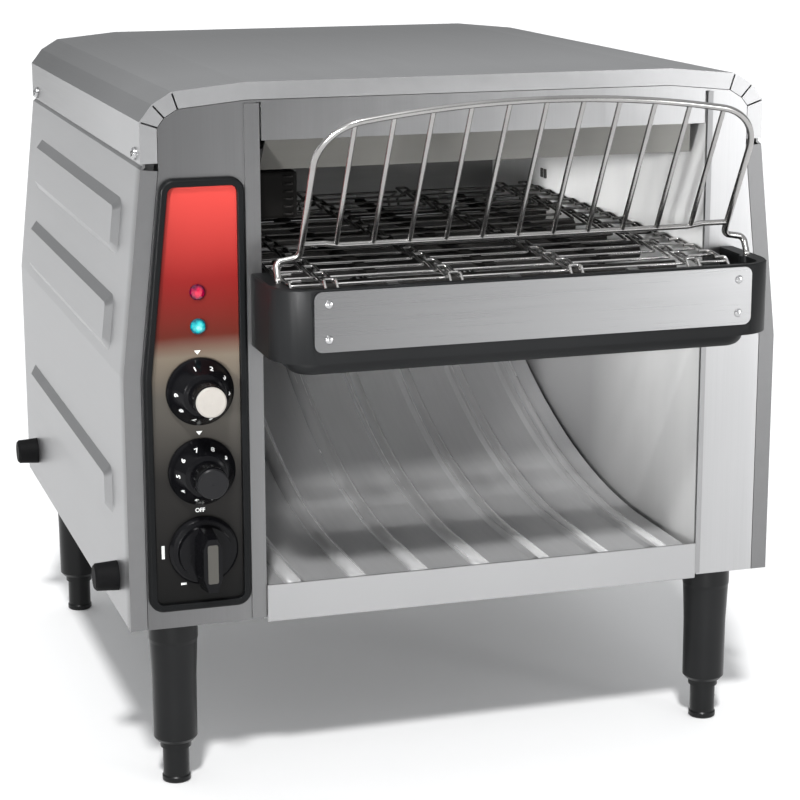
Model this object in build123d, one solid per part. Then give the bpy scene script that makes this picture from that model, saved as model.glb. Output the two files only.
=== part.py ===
from build123d import *
import math
import os

os.makedirs("parts", exist_ok=True)

# A counter-top conveyor toaster.  +Z is up, the front looks along -Y, and the
# origin lies on the bench, under the middle of the machine's overall box.
# All sizes are in millimetres.

# Sheet-metal body
BODY_WIDTH = 370.0        # across the upright lower half of the side panels
BODY_DEPTH = 354.0
BODY_HEIGHT = 287.7       # underside of the base plate to the roof
LEG_HEIGHT = 95.0         # bench to the underside of the base plate
BEND_HEIGHT = 137.0       # where the side panels start to lean inwards
SHOULDER_IN = 11.9        # how far they lean in below the cover
FACET_IN = (6.7, 10.3, 38.0)     # flat bends of the roof edge and its crown, inwards
FACET_UP = (8.6, 6.2, 3.7)       # and upwards
SLIT_BEND = 15.0          # flanges are slit at bends of more degrees than this
SKIRT_DEPTH = 24.2        # upright skirt of the top cover
SEAM_GAP = 3.0            # shadow gap between cover and side panel flanges
SHEET = 1.2
FLANGE = 9.0              # front and rear return flanges
SLIT = 0.9                # relief slits where a flange passes a bend
LAP = 13.0                # joggled strip of the side panel behind the skirt
REAR_RECESS = 9.0         # rear panel set in from the rear flanges
FIT = 0.3                 # clearance between loose sheet parts
SHAFT_FIT = 0.05          # radial clearance of shafts, studs and screws
SCREW_SHANK = 1.75

# Opening in the front
LEFT_POST = 74.0          # body edge to the opening, on the control side
RIGHT_POST = 45.0
LEFT_HEM = 8.0            # inner wall flange lapped over the fascia
RIGHT_HEM = 3.0
HOOD_DROP = 30.2          # roof to the hood's lower edge
HOOD_SLOT = 2.7           # beside each end of the hood, for the wall that passes it
DEFLECTOR_DROP = 17.3     # hood to the deflector's lower edge
DEFLECTOR_ENDS = (9.0, 2.6)      # its right end's gap to the wall, at the hood and at the foot
ROOF_GAP = 13.5           # roof to the tops of the inner walls
WALL_END = 2.0            # ends of the side walls behind the rear inner wall
REFLECTOR_SHEET = 0.6
HEATER_RADIUS = 3.6
HEATER_COUNT = 5
HEATER_DROP = 22.2        # tops of the inner walls to the upper heating tubes

# Belt of linked wire strands
BELT_GAPS = (6.0, 1.0)    # belt edges to the left and right inner walls
BELT_TOP = 190.0          # above the base
LOOP_RADIUS = 15.0        # strand centre line around a shaft
BELT_FRONT_GAP = 1.95     # foremost strand to the tray's front wall
REAR_SHAFT_INSET = 82.0   # rear of the body to the rear shaft
STRAND_PITCH = 19.9
STRAND_WIRE = 1.7
LINK_COLUMNS = 4          # rows of linking bends across the belt
LINK_EDGE = 21.8          # belt edge to the first row
LINK_HALF = 3.2           # half the width of a linking bend
LINK_CLEAR = 0.5          # between a linking bend and the strand it rides over
SHAFT_RADIUS = 4.75
BUSH_WALL = 2.4
WHEEL_WIDTH = 6.0
WHEEL_TEETH = 8

# Feed tray ahead of the opening
TRAY_BEYOND = (6.0, 18.0) # past the opening, left and right
TRAY_REACH = 57.5
RIM_DROP = 1.0            # top of the belt to the tray's rim
SHELF_GAP = 0.9           # lowest strands to the shelf under them
SHELF = 2.0
BELLY_DEPTH = 8.0
BELLY_FLOOR = 3.0
BELLY_INSET = (9.0, 12.0, 7.5)   # left, right, front
TRAY_WALL = 4.5
TRAY_SIDE_WALL = 8.5
TRAY_CORNER = 21.0
TRAY_INNER_CORNER = 8.0
BELLY_CORNER = 14.0
PLATE_INSET = (18.5, 16.5)       # sides of the tray to the plate
PLATE_MARGIN = (1.0, 6.0) # rim to the plate, and the plate to the foot of the wall
PLATE_CORNER = 4.2
PLATE_RECESS = 0.6
RIVET_RADIUS = 2.3
RIVET_SHANK = 1.15
RIVET_INSET = 7.5

# Wire rack that leans forward over the tray
RACK_FOOT_INSET = 7.0     # side of the tray to each foot
RACK_FOOT_JUT = 12.4      # foot to the side wire
RACK_LEAN = 29.1          # degrees from upright
RACK_SETBACK = -31.0      # bottom wire, behind the fascia
RACK_OVER_BELT = 16.6     # bottom wire, above the belt
RACK_CORNER_DROP = 6.5
RACK_SHOULDER = 72.5      # corner of the outline, up the slope
ARCH_RISE = 22.2          # from there to where the arch's two slopes would meet
ARCH_STRAIGHT = 23.5      # part of each slope left for the corner's bend
SHOULDER_RADIUS = 26.8
RACK_JOG = 1.6
FRAME_WIRE = 3.5
BOTTOM_WIRE = 3.0
BAR_WIRE = 2.7
BAR_COUNT = 11
BAR_OFFSET = -1.5         # bars to the left of the frame's middle
FOOT_BEND = 4.6
FOOT_SOCKET_DEPTH = 9.0
SOCKET_WALL = 1.8

# Toast chute with its front lip
CHUTE_GAP = (3.0, 4.5)    # to the left and right inner walls
CHUTE_FLAT = 60.0         # level stretch behind the lip
CHUTE_LEVEL = 17.0        # above the base
CHUTE_RISE = 109.3        # from there up to the rear end
CHUTE_SHEET = 1.0
LIP_BOTTOM = -1.0
LIP_PROUD = 3.0
BEAD_COUNT = 7
BEAD_WIDTH = 9.0
BEAD_CREST = 4.0
BEAD_RISE = 1.8
CHUTE_TRAVEL = 270.0

# Raised panels pressed into the sides
LOW_PRESSING = (53.0, 80.0)      # above the base
PRESSING_FIELD = (6.0, 20.0)     # upper pair: clear of the bend and of the seam
PRESSING_FILL = 0.595     # raised part of the upper pair's spacing
PRESSING_FRONT = 42.0
PRESSING_REAR = 42.0
PRESSING_RISE = 3.5
PRESSING_SLOPE = 5.0

# Legs, levelling feet and bumpers
LEG_IN = 27.0             # side of the body to the leg's centre
LEG_FRONT = 22.0
LEG_REAR = 22.0
LEG_TOP_RADIUS = 13.5
LEG_BOTTOM_RADIUS = 12.0
NECK_RADIUS = 8.5
FOOT_RADIUS = 7.25
FOOT_FLANGE_RADIUS = 7.8
FOOT_HEIGHT = 19.7
FOOT_STUD = 4.0
FOOT_STUD_LENGTH = 42.0
LEG_STUD = 5.0
BUMPER_RADII = (8.2, 7.5)
BUMPER_LENGTH = 13.0
BUMPER_STUB = 2.45
BUMPER_HEIGHT = 21.0
BUMPER_FRONT = 35.0
BUMPER_REAR = 39.0

# Controls
BEZEL_BOTTOM = 10.0
BEZEL_DROP = 47.7         # roof to the top of the control frame
BEZEL_DEPTH = 4.0
BEZEL_RIM = 4.2
BEZEL_CORNER = 8.0
PANEL_SHEET = 1.4
DIAL_OFFSET = 1.85        # dials to the right of the frame's lower middle
DIAL_HEIGHTS = (128.7, 85.6, 42.7)
LAMP_HEIGHTS = (181.0, 163.0)
LAMP_RADIUS = 4.2
DIAL_RADIUS = 18.0
DIAL_CONE = 10.5
DIAL_CONE_HEIGHT = 13.0
STEM_RADIUS = 9.0
DIAL_LENGTH = 27.0
CAP_RADIUS = 8.0
SPINDLE_RADIUS = 3.0
SPINDLE_BUSH = 0.95       # wall of the threaded bush around a spindle
FUNCTION_RADIUS = 18.5
GRIP_TOP = 24.0
GRIP_HALF = 6.4

# Drive, cooling and wiring
CHAIN_PITCH = 6.35
DRIVEN_TEETH = 15
MOTOR_TEETH = 10
CHAIN_IN = 36.0           # left inner wall to the chain
MOTOR_AHEAD = 52.0        # motor shaft ahead of the rear shaft
MOTOR_HEIGHT = 82.0       # and above the base
MOTOR_SHAFT_RADIUS = 4.0
FAN_SIZE = 60.0
FAN_DEPTH = 25.0
FAN_HEIGHT = 88.0         # above the base
FAN_PIN = 2.5
GLAND_RADIUS = 8.9
GLAND_BORE = 6.0
GLAND_HEIGHT = 40.0       # above the base
SIDE_MIDDLE = 22.0        # right inner wall to the gland and the terminals

# Levels and positions that follow from the sizes above
BASE = LEG_HEIGHT
ROOF = BASE + BODY_HEIGHT
BEND = BASE + BEND_HEIGHT
SKIRT_TOP = ROOF - sum(FACET_UP)
SEAM = SKIRT_TOP - SKIRT_DEPTH
HALF = BODY_WIDTH / 2
SHOULDER = HALF - SHOULDER_IN
OPEN_LEFT = LEFT_POST - HALF
OPEN_RIGHT = HALF - RIGHT_POST
HOOD_BOTTOM = ROOF - HOOD_DROP
DEFLECTOR_BOTTOM = HOOD_BOTTOM - DEFLECTOR_DROP
WALL_TOP = ROOF - ROOF_GAP
UPPER_HEATER_Z = WALL_TOP - HEATER_DROP
BELT_LEFT = OPEN_LEFT + BELT_GAPS[0]
BELT_RIGHT = OPEN_RIGHT - BELT_GAPS[1]
LINK_REACH = STRAND_WIRE
LINK_LIFT = STRAND_WIRE + LINK_CLEAR
LINK_OUTER = LINK_LIFT + STRAND_WIRE / 2
BELT_Z = BASE + BELT_TOP
SHAFT_Z = BELT_Z - LINK_OUTER - LOOP_RADIUS
WHEEL_RADIUS = LOOP_RADIUS - STRAND_WIRE / 2 - FIT
BUSH_OUTER = SHAFT_RADIUS + BUSH_WALL
TRAY_LEFT = OPEN_LEFT - TRAY_BEYOND[0]
TRAY_RIGHT = OPEN_RIGHT + TRAY_BEYOND[1]
TRAY_MIDDLE = (TRAY_LEFT + TRAY_RIGHT) / 2
TRAY_RIM = BELT_Z - RIM_DROP
TRAY_WALL_BOTTOM = SHAFT_Z - LOOP_RADIUS - LINK_OUTER - SHELF_GAP - SHELF
BELLY_BOTTOM = TRAY_WALL_BOTTOM - BELLY_DEPTH
PLATE_WIDTH = TRAY_RIGHT - TRAY_LEFT - sum(PLATE_INSET)
PLATE_HEIGHT = TRAY_RIM - TRAY_WALL_BOTTOM - sum(PLATE_MARGIN)
RACK_FOOT_HALF = (TRAY_RIGHT - TRAY_LEFT) / 2 - RACK_FOOT_INSET
RACK_HALF = RACK_FOOT_HALF - RACK_FOOT_JUT
RACK_CROWN = RACK_SHOULDER + ARCH_RISE
RACK_Z = BELT_Z + RACK_OVER_BELT
lean = math.radians(RACK_LEAN)
arch_slope = math.atan(ARCH_RISE / RACK_HALF)
ARCH_RADIUS = (math.hypot(RACK_HALF, ARCH_RISE) - ARCH_STRAIGHT) / math.tan(arch_slope)
rack_apex = RACK_CROWN - ARCH_RADIUS * (1 / math.cos(arch_slope) - 1)
rack_reach = rack_apex * math.sin(lean) + FRAME_WIRE / 2 - RACK_SETBACK
FRONT = (rack_reach - BODY_DEPTH) / 2
BACK = FRONT + BODY_DEPTH
REAR_PANEL_Y = BACK - REAR_RECESS - SHEET
WALL_ENDS_Y = REAR_PANEL_Y - SHEET - 2 * FIT      # clear of the pan's upturned rear
REAR_WALL_Y = WALL_ENDS_Y - WALL_END
FRONT_SHAFT_Y = FRONT - TRAY_REACH + TRAY_WALL + BELT_FRONT_GAP + LINK_OUTER + LOOP_RADIUS
REAR_SHAFT_Y = BACK - REAR_SHAFT_INSET
CHUTE_END_Y = REAR_WALL_Y - 3 * FIT
chute_run = CHUTE_END_Y - FRONT - CHUTE_FLAT
CHUTE_RADIUS = (chute_run ** 2 + CHUTE_RISE ** 2) / (2 * CHUTE_RISE)
BEZEL_LEFT = FLANGE + 3 * FIT - HALF
BEZEL_RIGHT = OPEN_LEFT - LEFT_HEM - 2 * FIT
DIAL_AT = (BEZEL_LEFT + BEZEL_RIGHT) / 2 + DIAL_OFFSET
DIAL_BASE = PANEL_SHEET + FIT
FUNCTION_Z = BASE + DIAL_HEIGHTS[2]
CHAIN_X = OPEN_LEFT - SHEET - CHAIN_IN
MOTOR_Y = REAR_SHAFT_Y - MOTOR_AHEAD
MOTOR_Z = BASE + MOTOR_HEIGHT
FAN_X = (SHEET - HALF + OPEN_LEFT - SHEET) / 2
FAN_Z = BASE + FAN_HEIGHT
LEG_X = HALF - LEG_IN
LEG_YS = (FRONT + LEG_FRONT, BACK - LEG_REAR)


# ---------------------------------------------------------------------------
# Shared construction

def parallel(points, distance):
    """The open outline moved sideways, to the left of its direction, with mitred corners."""
    runs = [Vector(*b) - Vector(*a) for a, b in zip(points, points[1:])]
    normals = [Vector(-run.Y, run.X).normalized() for run in runs]
    moved = []
    for index, point in enumerate(points):
        before = normals[max(index - 1, 0)]
        after = normals[min(index, len(normals) - 1)]
        step = (before + after) * (distance / (1 + before.dot(after)))
        moved.append((point[0] + step.X, point[1] + step.Y))
    return moved


def sheet_outline(points, thickness):
    """Closed section of a bent sheet whose outer face follows the points."""
    return points + parallel(points, thickness)[::-1]


def prism_x(points, x0, x1):
    """Solid along X with a section given as (y, z) points."""
    section = Plane(origin=(x0, 0, 0), x_dir=(0, 1, 0), z_dir=(1, 0, 0))
    return extrude(section * make_face(Polyline(*points, close=True)), x1 - x0)


def prism_y(points, y0, y1):
    """Solid along Y with a section given as (x, z) points."""
    section = Plane(origin=(0, y1, 0), x_dir=(1, 0, 0), z_dir=(0, -1, 0))
    return extrude(section * make_face(Polyline(*points, close=True)), y1 - y0)


def block(x0, x1, y0, y1, z0, z1):
    """Square-edged stock between three pairs of limits."""
    size = (x1 - x0, y1 - y0, z1 - z0)
    return Pos((x0 + x1) / 2, (y0 + y1) / 2, (z0 + z1) / 2) * Box(*size)


def rod(start, end, radius):
    """Round bar between two points."""
    axis = Vector(*end) - Vector(*start)
    return extrude(Plane(origin=start, z_dir=axis) * Circle(radius), axis.length)


def turned(profile, plane):
    """Solid turned about the plane's normal, from (radius, height) points."""
    section = Plane(origin=plane.origin, x_dir=plane.x_dir, z_dir=-plane.y_dir)
    return revolve(section * make_face(Polyline(*profile, close=True)), Axis(plane.origin, plane.z_dir))


def facing_front(x, y, z):
    """Plane that looks out of the front, with its X along +X."""
    return Plane(origin=(x, y, z), x_dir=(1, 0, 0), z_dir=(0, -1, 0))


def mirrored(shape):
    return mirror(shape, Plane.YZ)


def save(name, *solids):
    shape = solids[0] if len(solids) == 1 else Compound(list(solids))
    export_step(shape, f"parts/{name}.step")


# ---------------------------------------------------------------------------
# Outer casing

def side_outline():
    """Right side of the body from the base up to the seam, outer face."""
    return [(HALF, BASE), (HALF, BEND), (SHOULDER, SEAM)]


def cover_outline():
    """Top cover from the right seam over the roof to the left seam, outer face."""
    right = [(SHOULDER, SEAM + SEAM_GAP), (SHOULDER, SKIRT_TOP)]
    for inward, upward in zip(FACET_IN, FACET_UP):
        x, z = right[-1]
        right.append((x - inward, z + upward))
    return right + [(-x, z) for x, z in right[::-1]]


def front_and_rear_flanges(outline):
    """Return flanges along an outline, slit where they pass each bend."""
    inner = parallel(outline, FLANGE)
    section = sheet_outline(outline, FLANGE)
    flanges = prism_y(section, FRONT, FRONT + SHEET) + prism_y(section, BACK - SHEET, BACK)
    for before, outer_point, after, inner_point in zip(outline, outline[1:], outline[2:], inner[1:]):
        arriving, leaving = Vector(*outer_point) - Vector(*before), Vector(*after) - Vector(*outer_point)
        if arriving.get_angle(leaving) < SLIT_BEND:
            continue
        mitre = Vector(*inner_point) - Vector(*outer_point)
        slit_length = mitre.length - SHEET
        angle = math.degrees(math.atan2(mitre.Y, mitre.X))
        middle = Vector(*inner_point) - mitre.normalized() * (slit_length / 2)
        slit = Pos(middle.X, 0, middle.Y) * Rot(0, -angle, 0) * Box(slit_length + SLIT, 3 * BODY_DEPTH, SLIT)
        flanges -= slit & block(-HALF, HALF, FRONT - 1, BACK + 1, BASE, ROOF)
    return flanges


def pressing(z0, z1, outline):
    """One raised panel on the outside of the right side, with flat bevels all round."""
    lower, upper = (outline[0], outline[1]) if z1 < BEND_HEIGHT else (outline[1], outline[2])
    rise = (BASE + (z0 + z1) / 2 - lower[1]) / (upper[1] - lower[1])
    x = lower[0] + rise * (upper[0] - lower[0])
    slope = math.atan2(lower[0] - upper[0], upper[1] - lower[1])
    length = BODY_DEPTH - PRESSING_FRONT - PRESSING_REAR
    middle_y = FRONT + PRESSING_FRONT + length / 2
    outward = (math.cos(slope), 0, math.sin(slope))
    face = Plane(origin=(x, middle_y, BASE + (z0 + z1) / 2), x_dir=(0, 1, 0), z_dir=outward)
    height = (z1 - z0) / math.cos(slope)
    foot = face * RectangleRounded(length, height, PRESSING_SLOPE)
    crest_height = height - 2 * PRESSING_SLOPE
    crest = face.offset(PRESSING_RISE) * RectangleRounded(
        length - 2 * PRESSING_SLOPE, crest_height, min(PRESSING_SLOPE / 2, 0.45 * crest_height))
    return loft([foot.face(), crest.face()], ruled=True), Vector(*outward)


def pressing_heights():
    """One low panel below the bend, and two that share the field from the bend up to the seam."""
    low, high = BEND_HEIGHT + PRESSING_FIELD[0], SEAM - BASE - PRESSING_FIELD[1]
    spacing = (high - low) / (1 + PRESSING_FILL)
    upper = [(z, z + spacing * PRESSING_FILL) for z in (low, low + spacing)]
    return [LOW_PRESSING, *upper]


def bumper_places():
    for y in (FRONT + BUMPER_FRONT, BACK - BUMPER_REAR):
        yield y, BASE + BUMPER_HEIGHT


def cover_screw_places():
    for y in (FRONT + 12, BACK - 20):
        yield y, SEAM + SEAM_GAP + 4.0


def side_panel():
    """Right side panel; the left one is its mirror image."""
    outline = side_outline()
    joggle = SHEET + FIT
    tucked = [(SHOULDER - joggle, SEAM + joggle), (SHOULDER - joggle, SEAM + LAP)]
    panel = prism_y(sheet_outline(outline + tucked, SHEET), FRONT + SHEET, BACK - SHEET)
    panel += front_and_rear_flanges(outline)
    for z0, z1 in pressing_heights():
        raised, outward = pressing(z0, z1, outline)
        panel = panel + raised - Pos(*(outward * -SHEET)) * raised
    for y, z in bumper_places():
        panel -= rod((HALF - 2 * SHEET, y, z), (HALF + 1, y, z), BUMPER_STUB + SHAFT_FIT)
    for y, z in cover_screw_places():
        panel -= rod((SHOULDER - 12, y, z), (SHOULDER + 1, y, z), SCREW_SHANK + SHAFT_FIT)
    return panel


def top_cover():
    outline = cover_outline()
    cover = prism_y(sheet_outline(outline, SHEET), FRONT + SHEET, BACK - SHEET)
    cover += front_and_rear_flanges(outline)
    for y, z in cover_screw_places():
        cover -= rod((-SHOULDER - 1, y, z), (SHOULDER + 1, y, z), SCREW_SHANK + SHAFT_FIT)
    return cover


def roof_over(x):
    """Height of the cover's outer face over a place across the body."""
    outline = cover_outline()
    for (x0, z0), (x1, z1) in zip(outline, outline[1:]):
        if x1 <= x <= x0 and x0 > x1:
            return z0 + (z1 - z0) * (x0 - x) / (x0 - x1)
    return ROOF


def hem_top(x):
    """The inner walls' front edges reach up to the rim of the fascia."""
    return roof_over(x) - FLANGE - SHEET - 2 * FIT


def cover_screws():
    """Pan-head screws through the skirt into the side panels' joggled strips."""
    screws = []
    for y, z in cover_screw_places():
        head = [(0, 0), (3.4, 0), (3.2, 1.2), (2.2, 2.0), (0, 2.2)]
        shank = [(0, -6.0), (SCREW_SHANK, -6.0), (SCREW_SHANK, 0), (0, 0)]
        plane = Plane(origin=(SHOULDER, y, z), x_dir=(0, 1, 0), z_dir=(1, 0, 0))
        screw = turned(head, plane) + turned(shank, plane)
        screws += [screw, mirrored(screw)]
    return screws


def body_inset(distance):
    """Closed outline of the whole body section, drawn in from its outer face."""
    right = side_outline() + cover_outline()[1:len(FACET_IN) + 2]
    mirror_side = [(-x, z) for x, z in right[::-1]]
    inner = parallel(right + mirror_side, distance)
    return inner


def front_fascia():
    """Posts and hood in one sheet: the opening is cut out, and slots free the hood's ends."""
    edge = body_inset(FLANGE + FIT)
    left, right = OPEN_LEFT - SHEET - FIT, OPEN_RIGHT + SHEET + FIT
    fascia = prism_y(edge, FRONT, FRONT + SHEET)
    fascia -= block(left, right, FRONT - 1, FRONT + SHEET + 1, BASE - 1, HOOD_BOTTOM)
    for x in (left, right - HOOD_SLOT):
        slot_top = hem_top(OPEN_LEFT if x == left else OPEN_RIGHT) + FIT
        fascia -= block(x, x + HOOD_SLOT, FRONT - 1, FRONT + SHEET, HOOD_BOTTOM - 1, slot_top)
    rim = prism_y(sheet_outline(edge, SHEET), FRONT + SHEET, FRONT + 12)
    fascia += rim - block(-HALF, HALF, FRONT, FRONT + 13, BASE - 1, BASE + SHEET + FIT)
    for z in DIAL_HEIGHTS:
        fascia -= rod((DIAL_AT, FRONT - 1, BASE + z), (DIAL_AT, FRONT + 3, BASE + z), spindle_hole())
    for z in LAMP_HEIGHTS:
        fascia -= rod((DIAL_AT, FRONT - 1, BASE + z), (DIAL_AT, FRONT + 3, BASE + z), LAMP_RADIUS - 1 + SHAFT_FIT)
    return fascia


def spindle_hole():
    return SPINDLE_RADIUS + SPINDLE_BUSH + SHAFT_FIT


def rear_panel():
    """Rear closing pan, its rim against the rear flanges, with vent slots and the cable hole."""
    edge = body_inset(2 * SHEET + 2 * FIT)
    panel = prism_y(edge, REAR_PANEL_Y, REAR_PANEL_Y + SHEET)
    panel += prism_y(sheet_outline(edge, SHEET), REAR_PANEL_Y + SHEET, BACK - SHEET - FIT)
    for column_x in (OPEN_LEFT - 36, OPEN_RIGHT + SIDE_MIDDLE):
        for row in range(7):
            z = SEAM - 95 + 13 * row
            slot = facing_front(column_x, REAR_PANEL_Y + 2, z) * SlotOverall(34, 4)
            panel -= extrude(slot, 6, both=True)
    for row in range(5):
        z = FAN_Z - 22 + 11 * row
        slot = facing_front(FAN_X, REAR_PANEL_Y + 2, z) * SlotOverall(46, 4)
        panel -= extrude(slot, 6, both=True)
    x, z = gland_place()
    panel -= rod((x, REAR_PANEL_Y - 1, z), (x, REAR_PANEL_Y + 3, z), GLAND_RADIUS + 2 * SHAFT_FIT)
    return panel


def gland_place():
    return OPEN_RIGHT + SIDE_MIDDLE, BASE + GLAND_HEIGHT


def cord_gland():
    """Empty cable bushing in the rear panel, held by its own locking flange."""
    x, z = gland_place()
    flange = GLAND_RADIUS + 2.6
    profile = [(GLAND_BORE, -7.0), (GLAND_RADIUS, -7.0), (GLAND_RADIUS, SHEET), (flange, SHEET),
               (flange - 0.5, 5.0), (GLAND_RADIUS - 0.4, 8.0), (GLAND_BORE, 8.0)]
    bushing = turned(profile, Plane(origin=(x, REAR_PANEL_Y, z), x_dir=(1, 0, 0), z_dir=(0, 1, 0)))
    nut = Pos(x, REAR_PANEL_Y - 4.5, z) * Rot(90, 0, 0) * extrude(RegularPolygon(GLAND_RADIUS + 4.1, 6), 4)
    nut -= rod((x, REAR_PANEL_Y - 12, z), (x, REAR_PANEL_Y + 1, z), GLAND_RADIUS)
    return bushing, nut


def base_plate():
    """Bottom pan with upturned sides and rear, vent slots and the leg holes."""
    edge = HALF - SHEET - FIT
    rear = REAR_PANEL_Y - FIT
    front = FRONT + SHEET + FIT
    pan = block(-edge, edge, front, rear, BASE, BASE + SHEET)
    for x0, x1 in ((-edge, -edge + SHEET), (edge - SHEET, edge)):
        pan += block(x0, x1, front + 14, rear, BASE, BASE + 14)
    pan += block(-edge, edge, rear - SHEET, rear, BASE, BASE + 14)
    for x0, x1 in ((-edge + 14, OPEN_LEFT - 12), (OPEN_RIGHT + 12, edge - 14)):
        pan += block(x0, x1, front, front + SHEET, BASE, BASE + 9)
    for x in (-LEG_X, LEG_X):
        for y in LEG_YS:
            pan -= rod((x, y, BASE - 1), (x, y, BASE + 3), LEG_STUD + SHAFT_FIT)
    for y, z in bumper_places():
        pan -= rod((-HALF, y, z), (HALF, y, z), 5.0)
    for row in range(8):
        slot = Plane(origin=(-HALF + 36, FRONT + 90 + 12 * row, BASE)) * SlotOverall(34, 4)
        pan -= extrude(slot, 6, both=True)
    return pan


# ---------------------------------------------------------------------------
# Legs, feet and bumpers

def leg(x, y):
    """Tapered leg with a threaded stud on top and a bore for the levelling foot."""
    neck = FOOT_HEIGHT + FIT
    depth = FOOT_HEIGHT + FOOT_STUD_LENGTH + 1
    bore = FOOT_STUD + SHAFT_FIT
    profile = [
        (bore, neck), (NECK_RADIUS, neck), (NECK_RADIUS, neck + 4), (LEG_BOTTOM_RADIUS - 1.6, neck + 4),
        (LEG_BOTTOM_RADIUS, neck + 6), (LEG_BOTTOM_RADIUS + 0.2, neck + 40), (LEG_TOP_RADIUS - 0.4, BASE - 14),
        (LEG_TOP_RADIUS, BASE - 12), (LEG_TOP_RADIUS, BASE), (LEG_STUD, BASE), (LEG_STUD, BASE + 11),
        (0, BASE + 11), (0, depth), (bore, depth)]
    return turned(profile, Plane(origin=(x, y, 0)))


def leg_nut(x, y):
    nut = extrude(Plane(origin=(x, y, BASE + SHEET)) * RegularPolygon(9.2, 6), 6)
    return nut - rod((x, y, BASE), (x, y, BASE + 12), LEG_STUD + SHAFT_FIT)


def foot(x, y):
    """Levelling foot: a flanged collar below a stud that turns in the leg."""
    profile = [
        (0, 0), (FOOT_FLANGE_RADIUS - 0.8, 0), (FOOT_FLANGE_RADIUS, 0.8), (FOOT_FLANGE_RADIUS, 3.0),
        (FOOT_RADIUS, 3.8), (FOOT_RADIUS, FOOT_HEIGHT), (FOOT_STUD, FOOT_HEIGHT),
        (FOOT_STUD, FOOT_HEIGHT + FOOT_STUD_LENGTH), (0, FOOT_HEIGHT + FOOT_STUD_LENGTH)]
    return turned(profile, Plane(origin=(x, y, 0)))


def bumpers():
    """Rubber bumpers pushed into the side panels, their barbs behind the sheet."""
    wide, narrow = BUMPER_RADII
    profile = [(0, -5.0), (BUMPER_STUB - 0.25, -5.0), (BUMPER_STUB, -SHEET), (BUMPER_STUB, 0), (wide, 0),
               (wide - 0.1, 2.0), (narrow, BUMPER_LENGTH - 1.2), (narrow - 1.2, BUMPER_LENGTH), (0, BUMPER_LENGTH)]
    solids = []
    for y, z in bumper_places():
        bumper = turned(profile, Plane(origin=(HALF, y, z), x_dir=(0, 1, 0), z_dir=(1, 0, 0)))
        solids += [bumper, mirrored(bumper)]
    return solids


# ---------------------------------------------------------------------------
# Toasting chamber

def heater_ys():
    """Heating tubes share out the run of belt inside the chamber."""
    first = FRONT + 38
    last = REAR_SHAFT_Y - LOOP_RADIUS - 14
    return [first + (last - first) * index / (HEATER_COUNT - 1) for index in range(HEATER_COUNT)]


def inner_wall(face_x, outward, hem):
    """Side wall of the chamber, with its front edge bent over the fascia."""
    x0, x1 = sorted((face_x, face_x + outward * SHEET))
    hem0, hem1 = sorted((face_x, face_x + outward * hem))
    top = hem_top(face_x)
    wall = block(x0, x1, FRONT - SHEET, FRONT + SHEET + FIT, BASE + SHEET, min(top, WALL_TOP))
    wall += block(x0, x1, FRONT - SHEET, FRONT + SHEET, BASE + SHEET, top)
    wall += block(x0, x1, FRONT + SHEET, WALL_ENDS_Y, BASE + SHEET, WALL_TOP)
    wall += block(hem0, hem1, FRONT - SHEET, FRONT, BASE + SHEET, top)
    wall -= rod((x0 - 1, REAR_SHAFT_Y, SHAFT_Z), (x1 + 1, REAR_SHAFT_Y, SHAFT_Z), BUSH_OUTER + SHAFT_FIT)
    for y in heater_ys():
        for z in (UPPER_HEATER_Z, SHAFT_Z):
            wall -= rod((x0 - 1, y, z), (x1 + 1, y, z), HEATER_RADIUS + SHAFT_FIT)
    return wall


def rear_inner_wall():
    """Back of the chamber, bent over at the foot of the toast's drop."""
    left, right, foot_z = OPEN_LEFT + FIT, OPEN_RIGHT - FIT, BASE + SHEET
    wall = block(left, right, REAR_WALL_Y, REAR_WALL_Y + SHEET, foot_z, WALL_TOP)
    return wall + block(left, right, REAR_WALL_Y, WALL_ENDS_Y, foot_z, foot_z + SHEET)


def hood_deflector():
    """Heat-stained plate hung behind the hood, sloping back to the chamber's mouth."""
    y = FRONT + SHEET
    outline = [(y, HOOD_BOTTOM + 12), (y, HOOD_BOTTOM + 0.5), (y + 15, DEFLECTOR_BOTTOM),
               (y + 19, DEFLECTOR_BOTTOM)]
    plate = prism_x(sheet_outline(outline, SHEET), OPEN_LEFT + HOOD_SLOT + 1, OPEN_RIGHT - DEFLECTOR_ENDS[1])
    corner = [(OPEN_RIGHT, HOOD_BOTTOM + 13), (OPEN_RIGHT - DEFLECTOR_ENDS[0], HOOD_BOTTOM + 13),
              (OPEN_RIGHT - DEFLECTOR_ENDS[0], HOOD_BOTTOM), (OPEN_RIGHT - DEFLECTOR_ENDS[1], DEFLECTOR_BOTTOM),
              (OPEN_RIGHT, DEFLECTOR_BOTTOM)]
    return plate - prism_y(corner, FRONT, FRONT + 24)


def upper_reflector():
    """Shallow tray over the upper heating tubes."""
    front, rear = FRONT + 24, REAR_WALL_Y - FIT
    top = WALL_TOP - REFLECTOR_SHEET
    outline = [(front, top - 18), (front + 3, top), (rear, top)]
    return prism_x(sheet_outline(outline, REFLECTOR_SHEET), OPEN_LEFT + FIT, OPEN_RIGHT - FIT)


def heaters(z):
    """Sheathed tubes that reach through both walls to their terminals."""
    tubes = []
    for y in heater_ys():
        tube = rod((OPEN_LEFT - 12, y, z), (OPEN_RIGHT + 12, y, z), HEATER_RADIUS)
        for end, outer in ((OPEN_LEFT - 12, OPEN_LEFT - 22), (OPEN_RIGHT + 12, OPEN_RIGHT + 22)):
            tube += rod((end, y, z), (outer, y, z), 1.6)
        tubes.append(tube)
    return tubes


# ---------------------------------------------------------------------------
# Belt

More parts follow.
